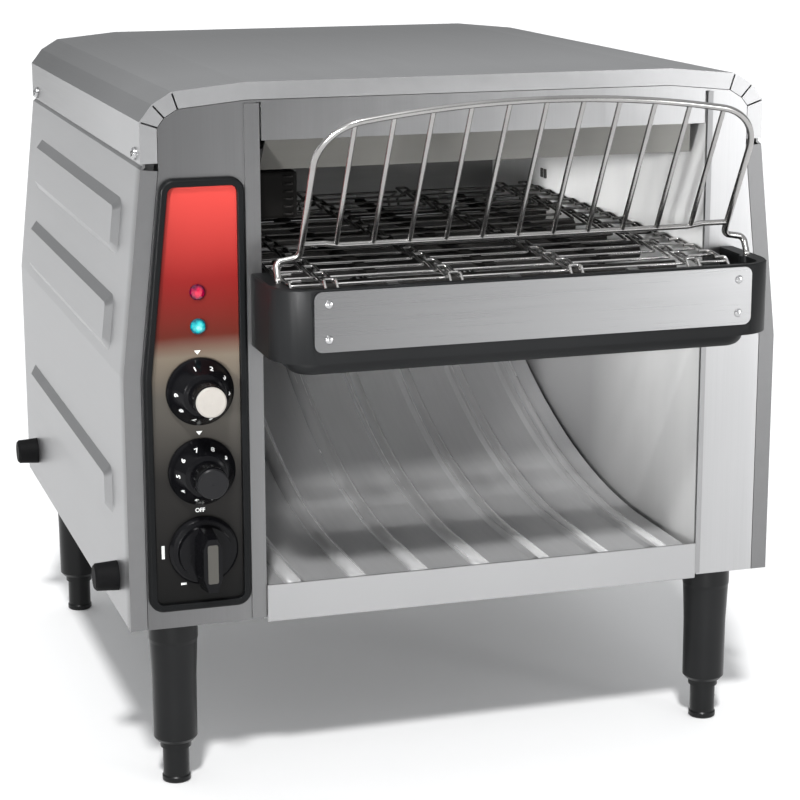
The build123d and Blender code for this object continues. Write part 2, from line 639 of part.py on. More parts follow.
def loop_station(distance):
    """Point of the belt's loop, with its direction of travel and outward normal, in (y, z)."""
    straight = REAR_SHAFT_Y - FRONT_SHAFT_Y
    curve = math.pi * LOOP_RADIUS
    distance %= 2 * (straight + curve)
    top = distance < straight + curve
    run = distance if top else distance - straight - curve
    angle = max(run - straight, 0) / LOOP_RADIUS
    along = min(run, straight)
    side = 1 if top else -1
    centre_y = (FRONT_SHAFT_Y + along) if top else (REAR_SHAFT_Y - along)
    normal = Vector(side * math.sin(angle), side * math.cos(angle))
    travel = Vector(side * math.cos(angle), -side * math.sin(angle))
    return Vector(centre_y, SHAFT_Z) + normal * LOOP_RADIUS, travel, normal


def link_columns():
    first, last = BELT_LEFT + LINK_EDGE, BELT_RIGHT - LINK_EDGE
    return [first + (last - first) * index / (LINK_COLUMNS - 1) for index in range(LINK_COLUMNS)]


def strand(index, step):
    """One wire across the belt: at each link it doubles forward and hooks over the next strand."""
    here, level, _ = loop_station(index * step)
    ahead, travel, normal = loop_station((index + 1) * step)
    hook = ahead + travel * LINK_REACH + normal * LINK_LIFT
    half_wire = STRAND_WIRE / 2
    left, right = BELT_LEFT + half_wire, BELT_RIGHT - half_wire
    path = [(left + 2 * LINK_HALF, hook), (left, hook), (left, here)]
    for x in link_columns():
        path += [(x - LINK_HALF, here), (x - LINK_HALF, hook), (x + LINK_HALF, hook), (x + LINK_HALF, here)]
    path += [(right, here), (right, hook), (right - 2 * LINK_HALF, hook)]
    points = [(x, yz.X, yz.Y) for x, yz in path]
    line = Polyline(*points)
    reach = (hook - here).normalized()
    flat = reach * (2 * level.dot(reach)) - level        # the two end corners turn it back to level
    across = Plane(origin=points[0], x_dir=(0, flat.X, flat.Y), z_dir=line % 0)
    return sweep(across * Rectangle(STRAND_WIRE, STRAND_WIRE), path=line, transition=Transition.RIGHT)


def wire_belt():
    loop = 2 * (REAR_SHAFT_Y - FRONT_SHAFT_Y) + 2 * math.pi * LOOP_RADIUS
    count = round(loop / STRAND_PITCH)
    return [strand(index, loop / count) for index in range(count)]


def wheel_columns():
    """Belt wheels run between the rows of links."""
    columns = link_columns()
    return [(a + b) / 2 for a, b in zip(columns, columns[1:])]


def belt_wheel(x, y):
    """Toothed wheel that carries the strands around a shaft."""
    disc = extrude(Plane(origin=(x - WHEEL_WIDTH / 2, y, SHAFT_Z), x_dir=(0, 1, 0), z_dir=(1, 0, 0))
                   * Circle(WHEEL_RADIUS), WHEEL_WIDTH)
    for index in range(WHEEL_TEETH):
        angle = 2 * math.pi * (index + 0.5) / WHEEL_TEETH
        gy = y + (WHEEL_RADIUS + 1.2) * math.cos(angle)
        gz = SHAFT_Z + (WHEEL_RADIUS + 1.2) * math.sin(angle)
        disc -= rod((x - WHEEL_WIDTH, gy, gz), (x + WHEEL_WIDTH, gy, gz), 3.2)
    return disc - rod((x - WHEEL_WIDTH, y, SHAFT_Z), (x + WHEEL_WIDTH, y, SHAFT_Z), SHAFT_RADIUS + SHAFT_FIT)


def belt_wheels(y):
    return [belt_wheel(x, y) for x in wheel_columns()]


def front_shaft():
    """Idler shaft, carried by the bosses of the feed tray."""
    reach = TRAY_SIDE_WALL - 5.0
    return rod((TRAY_LEFT + reach, FRONT_SHAFT_Y, SHAFT_Z), (TRAY_RIGHT - reach, FRONT_SHAFT_Y, SHAFT_Z),
               SHAFT_RADIUS)


def rear_shaft():
    """Drive shaft through both inner walls, with the driven sprocket at its left end."""
    return rod((CHAIN_X - 6, REAR_SHAFT_Y, SHAFT_Z), (OPEN_RIGHT + SHEET + 8, REAR_SHAFT_Y, SHAFT_Z), SHAFT_RADIUS)


def rear_shaft_bushes():
    bushes = []
    for face_x, outward in ((OPEN_LEFT, -1), (OPEN_RIGHT, 1)):
        plane = Plane(origin=(face_x + outward * SHEET, REAR_SHAFT_Y, SHAFT_Z), x_dir=(0, 1, 0),
                      z_dir=(outward, 0, 0))
        bore = SHAFT_RADIUS + SHAFT_FIT
        profile = [(bore, -SHEET), (BUSH_OUTER, -SHEET), (BUSH_OUTER, 0), (BUSH_OUTER + 3, 0),
                   (BUSH_OUTER + 3, 2.5), (bore, 2.5)]
        bushes.append(turned(profile, plane))
    return bushes


def belt_rails():
    """Three runners under the upper strands, joined by two bars let into the walls."""
    top = SHAFT_Z + LOOP_RADIUS - STRAND_WIRE / 2 - FIT
    rear = REAR_SHAFT_Y - WHEEL_RADIUS - 6
    frame = None
    for x in wheel_columns():
        rail = block(x - 3, x + 3, FRONT + 4, rear, top - 3, top)
        frame = rail if frame is None else frame + rail
    ys = heater_ys()
    for y in ((ys[0] + ys[1]) / 2, (ys[-2] + ys[-1]) / 2):
        frame += block(OPEN_LEFT, OPEN_RIGHT, y - 4, y + 4, top - 5, top - 3)
    return frame


# ---------------------------------------------------------------------------
# Feed tray and rack

def tray_section(inset, corner):
    """Plan of the tray: square at the fascia, rounded at the two front corners."""
    left, right = TRAY_LEFT + inset[0], TRAY_RIGHT - inset[1]
    front, rear = FRONT - TRAY_REACH + inset[2], FRONT - SHEET
    plan = make_face(Polyline((left, rear), (left, front), (right, front), (right, rear), close=True))
    corners = plan.vertices().sort_by(Axis.Y)[:2]
    return fillet(corners, corner)


def feed_tray():
    """Moulded tray that carries the belt's front end, with a stepped belly and sockets for the rack."""
    wall_bottom, rim = TRAY_WALL_BOTTOM, TRAY_RIM
    floor = BELLY_BOTTOM + BELLY_FLOOR
    outer = extrude(Plane(origin=(0, 0, wall_bottom)) * tray_section((0, 0, 0), TRAY_CORNER), rim - wall_bottom)
    outer = chamfer(outer.edges().group_by(Axis.Z)[-1].filter_by(lambda e: e.center().Y < FRONT - 2), 0.8)
    belly = extrude(Plane(origin=(0, 0, BELLY_BOTTOM)) * tray_section(BELLY_INSET, BELLY_CORNER), BELLY_DEPTH)
    belly_edges = belly.edges().group_by(Axis.Z)[0].filter_by(lambda e: e.center().Y < FRONT - 2)
    tray = outer + fillet(belly_edges, 0.75 * BELLY_DEPTH)
    side = TRAY_SIDE_WALL
    shelf = wall_bottom + SHELF
    cavity = tray_section((side, side, TRAY_WALL), TRAY_INNER_CORNER)
    tray -= extrude(Plane(origin=(0, 0, shelf)) * cavity, rim - shelf + 1)
    well = tray_section([inset + BELLY_FLOOR for inset in BELLY_INSET], BELLY_CORNER - BELLY_FLOOR)
    tray -= extrude(Plane(origin=(0, 0, floor)) * well, shelf - floor + 1)
    for x in (TRAY_MIDDLE - RACK_FOOT_HALF, TRAY_MIDDLE + RACK_FOOT_HALF):
        y = FRONT + RACK_SETBACK
        tray += rod((x, y, rim - FOOT_SOCKET_DEPTH - 3), (x, y, rim), FRAME_WIRE / 2 + FIT + SOCKET_WALL)
    for x, inward in ((TRAY_LEFT, 1), (TRAY_RIGHT, -1)):
        boss_end = x + inward * (side + 2.7)
        tray += rod((x + inward * side, FRONT_SHAFT_Y, SHAFT_Z), (boss_end, FRONT_SHAFT_Y, SHAFT_Z),
                    SHAFT_RADIUS + 3.5)
        bore_start = x + inward * (side - 5.3)
        tray -= rod((bore_start, FRONT_SHAFT_Y, SHAFT_Z), (boss_end + inward, FRONT_SHAFT_Y, SHAFT_Z),
                    SHAFT_RADIUS + SHAFT_FIT)
    for x in (TRAY_MIDDLE - RACK_FOOT_HALF, TRAY_MIDDLE + RACK_FOOT_HALF):
        y = FRONT + RACK_SETBACK
        tray -= rod((x, y, rim - FOOT_SOCKET_DEPTH), (x, y, rim + 1), FRAME_WIRE / 2 + FIT)
    plate_seat = facing_front(*plate_middle(PLATE_RECESS)) * RectangleRounded(
        PLATE_WIDTH + 2 * FIT, PLATE_HEIGHT + 2 * FIT, PLATE_CORNER + FIT)
    tray -= extrude(plate_seat, 5)
    for x, z in rivet_places():
        y = FRONT - TRAY_REACH
        tray -= rod((x, y - 1, z), (x, y + 3.2, z), RIVET_SHANK + SHAFT_FIT)
    return tray


def plate_middle(depth):
    left, top = TRAY_LEFT + PLATE_INSET[0], TRAY_RIM - PLATE_MARGIN[0]
    return left + PLATE_WIDTH / 2, FRONT - TRAY_REACH + depth, top - PLATE_HEIGHT / 2


def rivet_places():
    x, _, z = plate_middle(0)
    for side in (-1, 1):
        for level in (-1, 1):
            yield (x + side * (PLATE_WIDTH / 2 - RIVET_INSET), z + level * (PLATE_HEIGHT / 2 - RIVET_INSET + 1))


def tray_plate():
    """Bare steel plate let into the front of the tray."""
    face = RectangleRounded(PLATE_WIDTH, PLATE_HEIGHT, PLATE_CORNER)
    plate = extrude(facing_front(*plate_middle(PLATE_RECESS)) * face, SHEET)
    for x, z in rivet_places():
        plate -= rod((x, FRONT - TRAY_REACH - 3, z), (x, FRONT - TRAY_REACH + 3, z), RIVET_SHANK + SHAFT_FIT)
    return plate


def plate_rivets():
    rivets = []
    face = SHEET - PLATE_RECESS
    for x, z in rivet_places():
        plane = facing_front(x, FRONT - TRAY_REACH, z)
        shank = turned([(0, -3.0), (RIVET_SHANK, -3.0), (RIVET_SHANK, face), (0, face)], plane)
        dome = turned([(0, face), (RIVET_RADIUS, face), (RIVET_RADIUS - 0.5, face + 0.7), (0, face + 1.1)], plane)
        rivets.append(shank + dome)
    return rivets


def bread_rack():
    """Welded wire rack: an arched frame, a jogged bottom wire and upright bars."""
    foot_y = FRONT + RACK_SETBACK
    slope = Plane(origin=(TRAY_MIDDLE, foot_y, RACK_Z), x_dir=(1, 0, 0),
                  z_dir=(0, -math.cos(lean), -math.sin(lean)))

    def at(x, s):
        return slope.from_local_coords(Vector(x, s, 0))

    def side(sign):
        corner = at(sign * RACK_HALF, -RACK_CORNER_DROP)
        elbow = at(sign * RACK_FOOT_HALF, -RACK_CORNER_DROP - 2.5)
        socket, knee = TRAY_RIM - FOOT_SOCKET_DEPTH + FIT, TRAY_RIM + 2
        return [(elbow.X, foot_y, socket), (elbow.X, foot_y, knee), elbow, corner]

    frame_points = side(-1) + [at(-RACK_HALF, RACK_SHOULDER), at(0, RACK_CROWN), at(RACK_HALF, RACK_SHOULDER)]
    frame_points += side(1)[::-1]
    bends = [FOOT_BEND - 2, FOOT_BEND - 1, FOOT_BEND, SHOULDER_RADIUS, ARCH_RADIUS, SHOULDER_RADIUS,
             FOOT_BEND, FOOT_BEND - 1, FOOT_BEND - 2]
    frame = FilletPolyline(*frame_points, radius=bends)
    rack = sweep(Plane(origin=frame @ 0, z_dir=frame % 0) * Circle(FRAME_WIRE / 2), path=frame)

    step = 2 * RACK_HALF / (BAR_COUNT + 1)
    bars = [BAR_OFFSET + step * (index - (BAR_COUNT - 1) / 2) for index in range(BAR_COUNT)]
    bottom = Polyline(at(-RACK_HALF, RACK_JOG), at(bars[0] - 6, RACK_JOG), at(bars[0] + 2, 0),
                      at(bars[-1] - 2, 0), at(bars[-1] + 6, RACK_JOG), at(RACK_HALF, RACK_JOG))
    rack += sweep(Plane(origin=bottom @ 0, z_dir=bottom % 0) * Circle(BOTTOM_WIRE / 2), path=bottom,
                  transition=Transition.RIGHT)
    for x in bars:
        rack += rod(at(x, 0), at(x, arch_height(x)), BAR_WIRE / 2)
    return rack


def arch_height(x):
    """Height of the rack's arch up the slope, at a distance from its middle."""
    tangent_x = ARCH_RADIUS * math.sin(arch_slope)
    if abs(x) > tangent_x:
        return RACK_CROWN - abs(x) * math.tan(arch_slope)
    return rack_apex - ARCH_RADIUS + math.sqrt(ARCH_RADIUS ** 2 - x ** 2)


# ---------------------------------------------------------------------------
# Chute

def chute_path():
    """Side view of the chute's upper face: level behind the lip, then rising in one long bend."""
    level = BASE + CHUTE_LEVEL
    bend_y = FRONT + CHUTE_FLAT
    angle = math.asin((CHUTE_END_Y - bend_y) / CHUTE_RADIUS)

    def on_bend(turn):
        return (0, bend_y + CHUTE_RADIUS * math.sin(turn), level + CHUTE_RADIUS * (1 - math.cos(turn)))

    flat = Line((0, FRONT - LIP_PROUD, level), on_bend(0))
    return Wire([flat.edge(), ThreePointArc(on_bend(0), on_bend(angle / 2), on_bend(angle)).edge()])


def discharge_chute():
    """Curved slide with pressed-up beads; with its cheeks and lip it pulls out as a tray."""
    left, right = OPEN_LEFT + CHUTE_GAP[0], OPEN_RIGHT - CHUTE_GAP[1]
    spacing = (right - left) / BEAD_COUNT
    across = [(left, 0)]
    for index in range(BEAD_COUNT):
        x = left + spacing * (index + 0.45)
        across += [(x - BEAD_WIDTH / 2, 0), (x - BEAD_CREST / 2, BEAD_RISE), (x + BEAD_CREST / 2, BEAD_RISE),
                   (x + BEAD_WIDTH / 2, 0)]
    across.append((right, 0))
    face = Plane(origin=(0, FRONT - LIP_PROUD, BASE + CHUTE_LEVEL), x_dir=(1, 0, 0), z_dir=(0, -1, 0))
    section = face * make_face(Polyline(*sheet_outline(across, -CHUTE_SHEET), close=True))
    slide = sweep(section, path=chute_path())

    lip_back = FRONT - LIP_PROUD + CHUTE_SHEET
    slide += block(left, right, FRONT - LIP_PROUD, lip_back, BASE + LIP_BOTTOM, BASE + CHUTE_LEVEL)
    for x0, x1 in ((OPEN_LEFT + 0.8, left), (right, OPEN_RIGHT - 0.8)):
        slide += block(x0, x1, FRONT - LIP_PROUD, lip_back, BASE + LIP_BOTTOM + 3, BASE + LIP_BOTTOM + 11)
    return slide + chute_cheek(left) + chute_cheek(right - CHUTE_SHEET)


def chute_cheek(x):
    """Plate under one edge of the slide, from the pan's floor up to the slide."""
    bottom = BASE + SHEET + FIT
    path = chute_path().edges()
    front_y = FRONT + SHEET + FIT
    top = BASE + CHUTE_LEVEL - CHUTE_SHEET / 2
    bend, middle, end = (Vector(0, 0, -CHUTE_SHEET / 2) + (path[1] @ where) for where in (0, 0.5, 1))
    outline = [Line((0, front_y, bottom), (0, front_y, top)), Line((0, front_y, top), bend),
               ThreePointArc(bend, middle, end), Line(end, (0, end.Y, bottom)),
               Line((0, end.Y, bottom), (0, front_y, bottom))]
    cheek = extrude(make_face(Wire([line.edge() for line in outline])), CHUTE_SHEET, dir=(1, 0, 0))
    return Pos(x, 0, 0) * cheek


# ---------------------------------------------------------------------------
# Controls

def bezel_outline(inset):
    """Control frame, its left side following the bend of the body's edge."""
    left_edge = [(-x, z) for x, z in parallel(side_outline(), FLANGE + 3 * FIT)]
    right = BEZEL_RIGHT
    bottom, top = BASE + BEZEL_BOTTOM, ROOF - BEZEL_DROP
    (x0, _), (x1, z1), (x2, z2) = left_edge
    top_x = x1 + (x2 - x1) * (top - z1) / (z2 - z1)
    corners = [(x0, bottom), (right, bottom), (right, top), (top_x, top), (x1, z1)]
    face = make_face(Polyline(*corners, close=True))
    sharp = face.vertices().filter_by(lambda v: abs(v.Y - z1) > 1)
    return offset(fillet(sharp, BEZEL_CORNER), -inset) if inset else fillet(sharp, BEZEL_CORNER)


def on_front(depth):
    return Plane(origin=(0, FRONT - depth, 0), x_dir=(1, 0, 0), z_dir=(0, -1, 0))


def control_bezel():
    """Moulded frame with a sloped inner edge and a rounded outer one."""
    frame = extrude(on_front(0) * bezel_outline(0), BEZEL_DEPTH)
    frame = chamfer(frame.faces().sort_by(Axis.Y)[0].edges(), 1.2)
    return frame - extrude(on_front(-1) * bezel_outline(BEZEL_RIM), BEZEL_DEPTH + 3)


def control_panel():
    """Printed plate inside the frame, with holes for the lamps and spindles."""
    panel = extrude(on_front(0) * bezel_outline(BEZEL_RIM + SHAFT_FIT), PANEL_SHEET)
    for z in DIAL_HEIGHTS:
        panel -= rod((DIAL_AT, FRONT - 4, BASE + z), (DIAL_AT, FRONT + 1, BASE + z), spindle_hole())
    for z in LAMP_HEIGHTS:
        panel -= rod((DIAL_AT, FRONT - 4, BASE + z), (DIAL_AT, FRONT + 1, BASE + z), LAMP_RADIUS - 1 + SHAFT_FIT)
    return panel


def lamp(z):
    """Lens with a low dome and a body that reaches through the fascia."""
    rim = PANEL_SHEET
    body = LAMP_RADIUS - 1
    profile = [(0, -14), (body, -14), (body, rim), (LAMP_RADIUS, rim), (LAMP_RADIUS, rim + 1.0),
               (LAMP_RADIUS - 0.8, rim + 2.0), (LAMP_RADIUS - 2.2, rim + 2.6), (0, rim + 2.8)]
    return turned(profile, facing_front(DIAL_AT, FRONT, BASE + z))


def dial_knob(z):
    """Numbered dial: a conical skirt, a plain stem and a seat for the cap."""
    start = DIAL_BASE
    bore = SPINDLE_RADIUS + 0.02
    end = start + DIAL_LENGTH
    profile = [(bore, start), (DIAL_RADIUS, start), (DIAL_RADIUS, start + 2.0), (DIAL_RADIUS - 1.0, start + 3.2),
               (DIAL_CONE + 0.8, start + DIAL_CONE_HEIGHT), (STEM_RADIUS, start + DIAL_CONE_HEIGHT + 1.0),
               (STEM_RADIUS - 0.4, end - 0.8), (STEM_RADIUS - 0.9, end), (CAP_RADIUS - 0.8, end),
               (CAP_RADIUS - 0.8, end - 1.2), (0, end - 1.2), (0, start + 14.0), (bore, start + 14.0)]
    return turned(profile, facing_front(DIAL_AT, FRONT, BASE + z))


def dial_cap(z):
    end = DIAL_BASE + DIAL_LENGTH
    profile = [(0, end - 1.2), (CAP_RADIUS - 0.85, end - 1.2), (CAP_RADIUS - 0.85, end), (CAP_RADIUS, end),
               (CAP_RADIUS, end + 0.8), (CAP_RADIUS - 0.7, end + 1.4), (0, end + 1.6)]
    return turned(profile, facing_front(DIAL_AT, FRONT, BASE + z))


def spindle(z):
    """Spindle that the knob is pushed onto, turning in the control behind the fascia."""
    return rod((DIAL_AT, FRONT - DIAL_BASE - 13.5, BASE + z), (DIAL_AT, FRONT + SHEET + 9, BASE + z),
               SPINDLE_RADIUS)


def control_body(z, radius, depth):
    """Round control with a threaded bush, fixed behind the fascia."""
    bore = SPINDLE_RADIUS + SHAFT_FIT
    bush = SPINDLE_RADIUS + SPINDLE_BUSH
    profile = [(bore, 0.5), (bush, 0.5), (bush, -SHEET), (radius, -SHEET),
               (radius, -SHEET - depth), (0, -SHEET - depth), (0, -SHEET - 9.4), (bore, -SHEET - 9.4)]
    return turned(profile, facing_front(DIAL_AT, FRONT, BASE + z))


def function_knob():
    """Pointer knob: a stepped round base under a tall grip that narrows to the pointer."""
    start = DIAL_BASE
    bore = SPINDLE_RADIUS + 0.02
    rim = FUNCTION_RADIUS
    base = [(bore, start), (rim, start), (rim, start + 2.5), (rim - 1.5, start + 4.0), (rim - 4.0, start + 4.4),
            (rim - 4.5, start + 8.0), (bore, start + 8.0)]
    knob = turned(base, facing_front(DIAL_AT, FRONT, FUNCTION_Z))
    low = facing_front(DIAL_AT, FRONT - start - 6.0, FUNCTION_Z) * grip_plan(GRIP_HALF, 14.5, -19.5)
    high = facing_front(DIAL_AT, FRONT - start - GRIP_TOP, FUNCTION_Z) * grip_plan(GRIP_HALF - 1.4, 12.0, -17.0)
    grip = loft([low.face(), high.face()], ruled=True)
    knob += grip
    knob -= rod((DIAL_AT, FRONT, FUNCTION_Z), (DIAL_AT, FRONT - start - 14, FUNCTION_Z), bore)
    knob -= extrude(facing_front(DIAL_AT, FRONT - start - GRIP_TOP + 0.8, FUNCTION_Z) * inlay_plan(0), 5)
    return knob


def grip_plan(half_width, top, tip):
    """Grip seen from the front: round at the top, tapered to the pointer below."""
    return Pos(0, 0) * make_face(Polyline(
        (-half_width, tip * 0.55), (-half_width * 0.45, tip), (half_width * 0.45, tip), (half_width, tip * 0.55),
        (half_width, top * 0.55), (half_width * 0.5, top), (-half_width * 0.5, top), (-half_width, top * 0.55),
        close=True))


def inlay_plan(clearance):
    return Pos(0, -1.5) * RectangleRounded(5.6 - 2 * clearance, 21 - 2 * clearance, 1.0)


def function_inlay():
    """Light strip let into the top of the grip."""
    seat = facing_front(DIAL_AT, FRONT - DIAL_BASE - GRIP_TOP + 0.8, FUNCTION_Z)
    return extrude(seat * inlay_plan(SHAFT_FIT), 1.0)


def function_switch():
    """Square rotary switch with its threaded bush."""
    size = 15.0
    body = block(DIAL_AT - size, DIAL_AT + size, FRONT + SHEET, FRONT + SHEET + 28, FUNCTION_Z - size,
                 FUNCTION_Z + size)
    body += rod((DIAL_AT, FRONT - 0.5, FUNCTION_Z), (DIAL_AT, FRONT + SHEET, FUNCTION_Z),
                SPINDLE_RADIUS + SPINDLE_BUSH)
    return body - rod((DIAL_AT, FRONT - 2, FUNCTION_Z), (DIAL_AT, FRONT + SHEET + 9.4, FUNCTION_Z),
                      SPINDLE_RADIUS + SHAFT_FIT)


# ---------------------------------------------------------------------------
# Drive and cooling, in the left compartment

def sprocket_radius(teeth):
    return CHAIN_PITCH / (2 * math.sin(math.pi / teeth))


def sprocket(teeth, y, z, bore):
    """Chain sprocket with round-bottomed tooth spaces and a hub."""
    pitch = sprocket_radius(teeth)
    face = Plane(origin=(CHAIN_X - 1.2, y, z), x_dir=(0, 1, 0), z_dir=(1, 0, 0))
    wheel = extrude(face * Circle(pitch + 1.4), 2.4)
    for index in range(teeth):
        angle = 2 * math.pi * index / teeth
        space = (y + pitch * math.cos(angle), z + pitch * math.sin(angle))
        wheel -= rod((CHAIN_X - 3, *space), (CHAIN_X + 3, *space), 1.7)
    wheel += rod((CHAIN_X - 5, y, z), (CHAIN_X + 5, y, z), bore + 3.0)
    return wheel - rod((CHAIN_X - 9, y, z), (CHAIN_X + 9, y, z), bore + SHAFT_FIT)


def chain_loop(offset_out, x0, x1):
    """Loop around both sprockets at a distance outside their pitch circles."""
    big, small = sprocket_radius(DRIVEN_TEETH) + offset_out, sprocket_radius(MOTOR_TEETH) + offset_out
    top, low = Vector(REAR_SHAFT_Y, SHAFT_Z), Vector(MOTOR_Y, MOTOR_Z)
    axis = low - top
    swing = math.acos((big - small) / axis.length)
    heading = math.atan2(axis.Y, axis.X)
    ends = []
    for sign in (1, -1):
        ray = Vector(math.cos(heading + sign * swing), math.sin(heading + sign * swing))
        ends.append((top + ray * big, low + ray * small))
    (a_top, a_low), (b_top, b_low) = ends
    far = top - axis.normalized() * big
    near = low + axis.normalized() * small
    outline = [Line(a_top, a_low), ThreePointArc(a_low, near, b_low), Line(b_low, b_top),
               ThreePointArc(b_top, far, a_top)]
    section = Plane(origin=(x0, 0, 0), x_dir=(0, 1, 0), z_dir=(1, 0, 0))
    return extrude(section * make_face(Wire(outline)), x1 - x0)


def drive_chain():
    """The chain's outer and inner link plates run as two bands beside the teeth."""
    bands = []
    for x0, x1 in ((CHAIN_X - 2.6, CHAIN_X - 1.5), (CHAIN_X + 1.5, CHAIN_X + 2.6)):
        bands.append(chain_loop(2.8, x0, x1) - chain_loop(-2.8, x0 - 1, x1 + 1))
    pins = []
    big, small = sprocket_radius(DRIVEN_TEETH), sprocket_radius(MOTOR_TEETH)
    top, low = Vector(REAR_SHAFT_Y, SHAFT_Z), Vector(MOTOR_Y, MOTOR_Z)
    axis = low - top
    swing = math.acos((big - small) / axis.length)
    heading = math.atan2(axis.Y, axis.X)
    for sign in (1, -1):
        ray = Vector(math.cos(heading + sign * swing), math.sin(heading + sign * swing))
        start, end = top + ray * big, low + ray * small
        run = (end - start).length
        count = int((run - 4 * CHAIN_PITCH) / CHAIN_PITCH) // 2
        for index in range(-count, count + 1):
            point = (start + end) * 0.5 + (end - start).normalized() * (CHAIN_PITCH * index)
            pins.append(rod((CHAIN_X - 2.6, point.X, point.Y), (CHAIN_X + 2.6, point.X, point.Y), 1.65))
    chain = bands[0] + bands[1]
    for pin in pins:
        chain += pin
    return chain


def gearmotor():
    """Flat gearbox on the inner wall, with the motor's can beside its output shaft."""
    wall = OPEN_LEFT - SHEET
    gearbox = block(wall - 26, wall, MOTOR_Y - 70, MOTOR_Y + 18, MOTOR_Z - 26, MOTOR_Z + 26)
    gearbox = chamfer(gearbox.edges().filter_by(Axis.X), 5)
    can = rod((wall - 26, MOTOR_Y - 45, MOTOR_Z), (wall - 62, MOTOR_Y - 45, MOTOR_Z), 23)
    boss = rod((wall - 26, MOTOR_Y, MOTOR_Z), (wall - 29, MOTOR_Y, MOTOR_Z), 9)
    motor = gearbox + can + boss
    return motor - rod((wall - 12, MOTOR_Y, MOTOR_Z), (wall - 40, MOTOR_Y, MOTOR_Z),
                       MOTOR_SHAFT_RADIUS + SHAFT_FIT)


def motor_shaft():
    wall = OPEN_LEFT - SHEET
    return rod((wall - 12.3, MOTOR_Y, MOTOR_Z), (CHAIN_X - 6, MOTOR_Y, MOTOR_Z), MOTOR_SHAFT_RADIUS)


def fan_frame():
    """Square fan housing on the rear panel, open through the middle, with three spokes and a hub seat."""
    x, z = FAN_X, FAN_Z
    half = FAN_SIZE / 2
    rear = REAR_PANEL_Y
    frame = block(x - half, x + half, rear - FAN_DEPTH, rear, z - half, z + half)
    frame -= rod((x, rear - FAN_DEPTH - 1, z), (x, rear + 1, z), half - 2)
    frame += rod((x, rear - 4, z), (x, rear, z), 11)
    for angle in (90, 210, 330):
        spoke = block(x - 2, x + 2, rear - 3, rear, z, z + half - 1)
        frame += spoke.rotate(Axis((x, 0, z), (0, 1, 0)), angle)
    return frame - rod((x, rear - 5, z), (x, rear - 2, z), FAN_PIN + SHAFT_FIT)


def fan_impeller():
    """Hub on a stub shaft with seven pitched blades."""
    x, z = FAN_X, FAN_Z
    rear = REAR_PANEL_Y - 4 - FIT
    hub = rod((x, rear, z), (x, rear - FAN_DEPTH + 7, z), 11)
    for index in range(7):
        blade = Pos(x, rear - 9, z + 18.5) * Rot(0, 0, 38) * Box(1.4, 14, 17)
        hub += blade.rotate(Axis((x, 0, z), (0, 1, 0)), 360 / 7 * index)
    return hub + rod((x, rear, z), (x, rear + FIT + 1.7, z), FAN_PIN)


def terminal_block():
    """Moulded terminal strip on the base plate beside the cable bushing."""
    x, y = OPEN_RIGHT + SIDE_MIDDLE, REAR_PANEL_Y - 60
    strip = block(x - 9, x + 9, y - 24, y + 24, BASE + SHEET, BASE + SHEET + 12)
    for index in range(4):
        strip -= rod((x, y - 18 + 12 * index, BASE + 8), (x, y - 18 + 12 * index, BASE + 15), 3)
    return strip


# ---------------------------------------------------------------------------
# Write every node

right_panel = side_panel()
save("right_side_panel", right_panel)
save("left_side_panel", mirrored(right_panel))
save("top_cover", top_cover())
save("cover_screws", *cover_screws())
save("front_fascia", front_fascia())
save("rear_panel", rear_panel())
save("cord_gland", *cord_gland())
save("base_plate", base_plate())
save("side_bumpers", *bumpers())

leg_places = {f"{end}_{hand}": (sign * LEG_X, y)
              for end, y in zip(("front", "rear"), LEG_YS)
              for hand, sign in (("left", -1), ("right", 1))}
save("legs", *[leg(*place) for place in leg_places.values()])
save("leg_nuts", *[leg_nut(*place) for place in leg_places.values()])
for corner_name, place in leg_places.items():
    save(f"{corner_name}_foot", foot(*place))

save("left_inner_wall", inner_wall(OPEN_LEFT, -1, LEFT_HEM))
save("right_inner_wall", inner_wall(OPEN_RIGHT, 1, RIGHT_HEM))
save("rear_inner_wall", rear_inner_wall())
save("hood_deflector", hood_deflector())
save("upper_reflector", upper_reflector())
save("upper_heaters", *heaters(UPPER_HEATER_Z))
save("lower_heaters", *heaters(SHAFT_Z))

save("wire_belt", *wire_belt())
save("belt_rails", belt_rails())
save("front_shaft", front_shaft())
save("rear_shaft", rear_shaft())
save("front_belt_wheels", *belt_wheels(FRONT_SHAFT_Y))
save("rear_belt_wheels", *belt_wheels(REAR_SHAFT_Y))
save("rear_shaft_bushes", *rear_shaft_bushes())

save("feed_tray", feed_tray())
save("tray_plate", tray_plate())
save("plate_rivets", *plate_rivets())
save("bread_rack", bread_rack())
save("discharge_chute", discharge_chute())

save("control_bezel", control_bezel())
save("control_panel", control_panel())
for lamp_name, height in zip(("power_lamp", "ready_lamp"), LAMP_HEIGHTS):
    save(lamp_name, lamp(height))
for dial_name, height in zip(("speed", "power"), DIAL_HEIGHTS):
    save(f"{dial_name}_knob", dial_knob(height))
    save(f"{dial_name}_knob_cap", dial_cap(height))
    save(f"{dial_name}_spindle", spindle(height))
    save(f"{dial_name}_control", control_body(height, 9.0, 12.0))
save("function_knob", function_knob())
save("function_knob_inlay", function_inlay())
save("function_spindle", spindle(DIAL_HEIGHTS[2]))
save("function_switch", function_switch())

save("driven_sprocket", sprocket(DRIVEN_TEETH, REAR_SHAFT_Y, SHAFT_Z, SHAFT_RADIUS))
save("motor_sprocket", sprocket(MOTOR_TEETH, MOTOR_Y, MOTOR_Z, MOTOR_SHAFT_RADIUS))
save("drive_chain", drive_chain())
save("gearmotor", gearmotor())
save("motor_shaft", motor_shaft())
save("fan_frame", fan_frame())
save("fan_impeller", fan_impeller())
save("terminal_block", terminal_block())
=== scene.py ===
import math

import bmesh
import bpy
from mathutils import Matrix, Vector


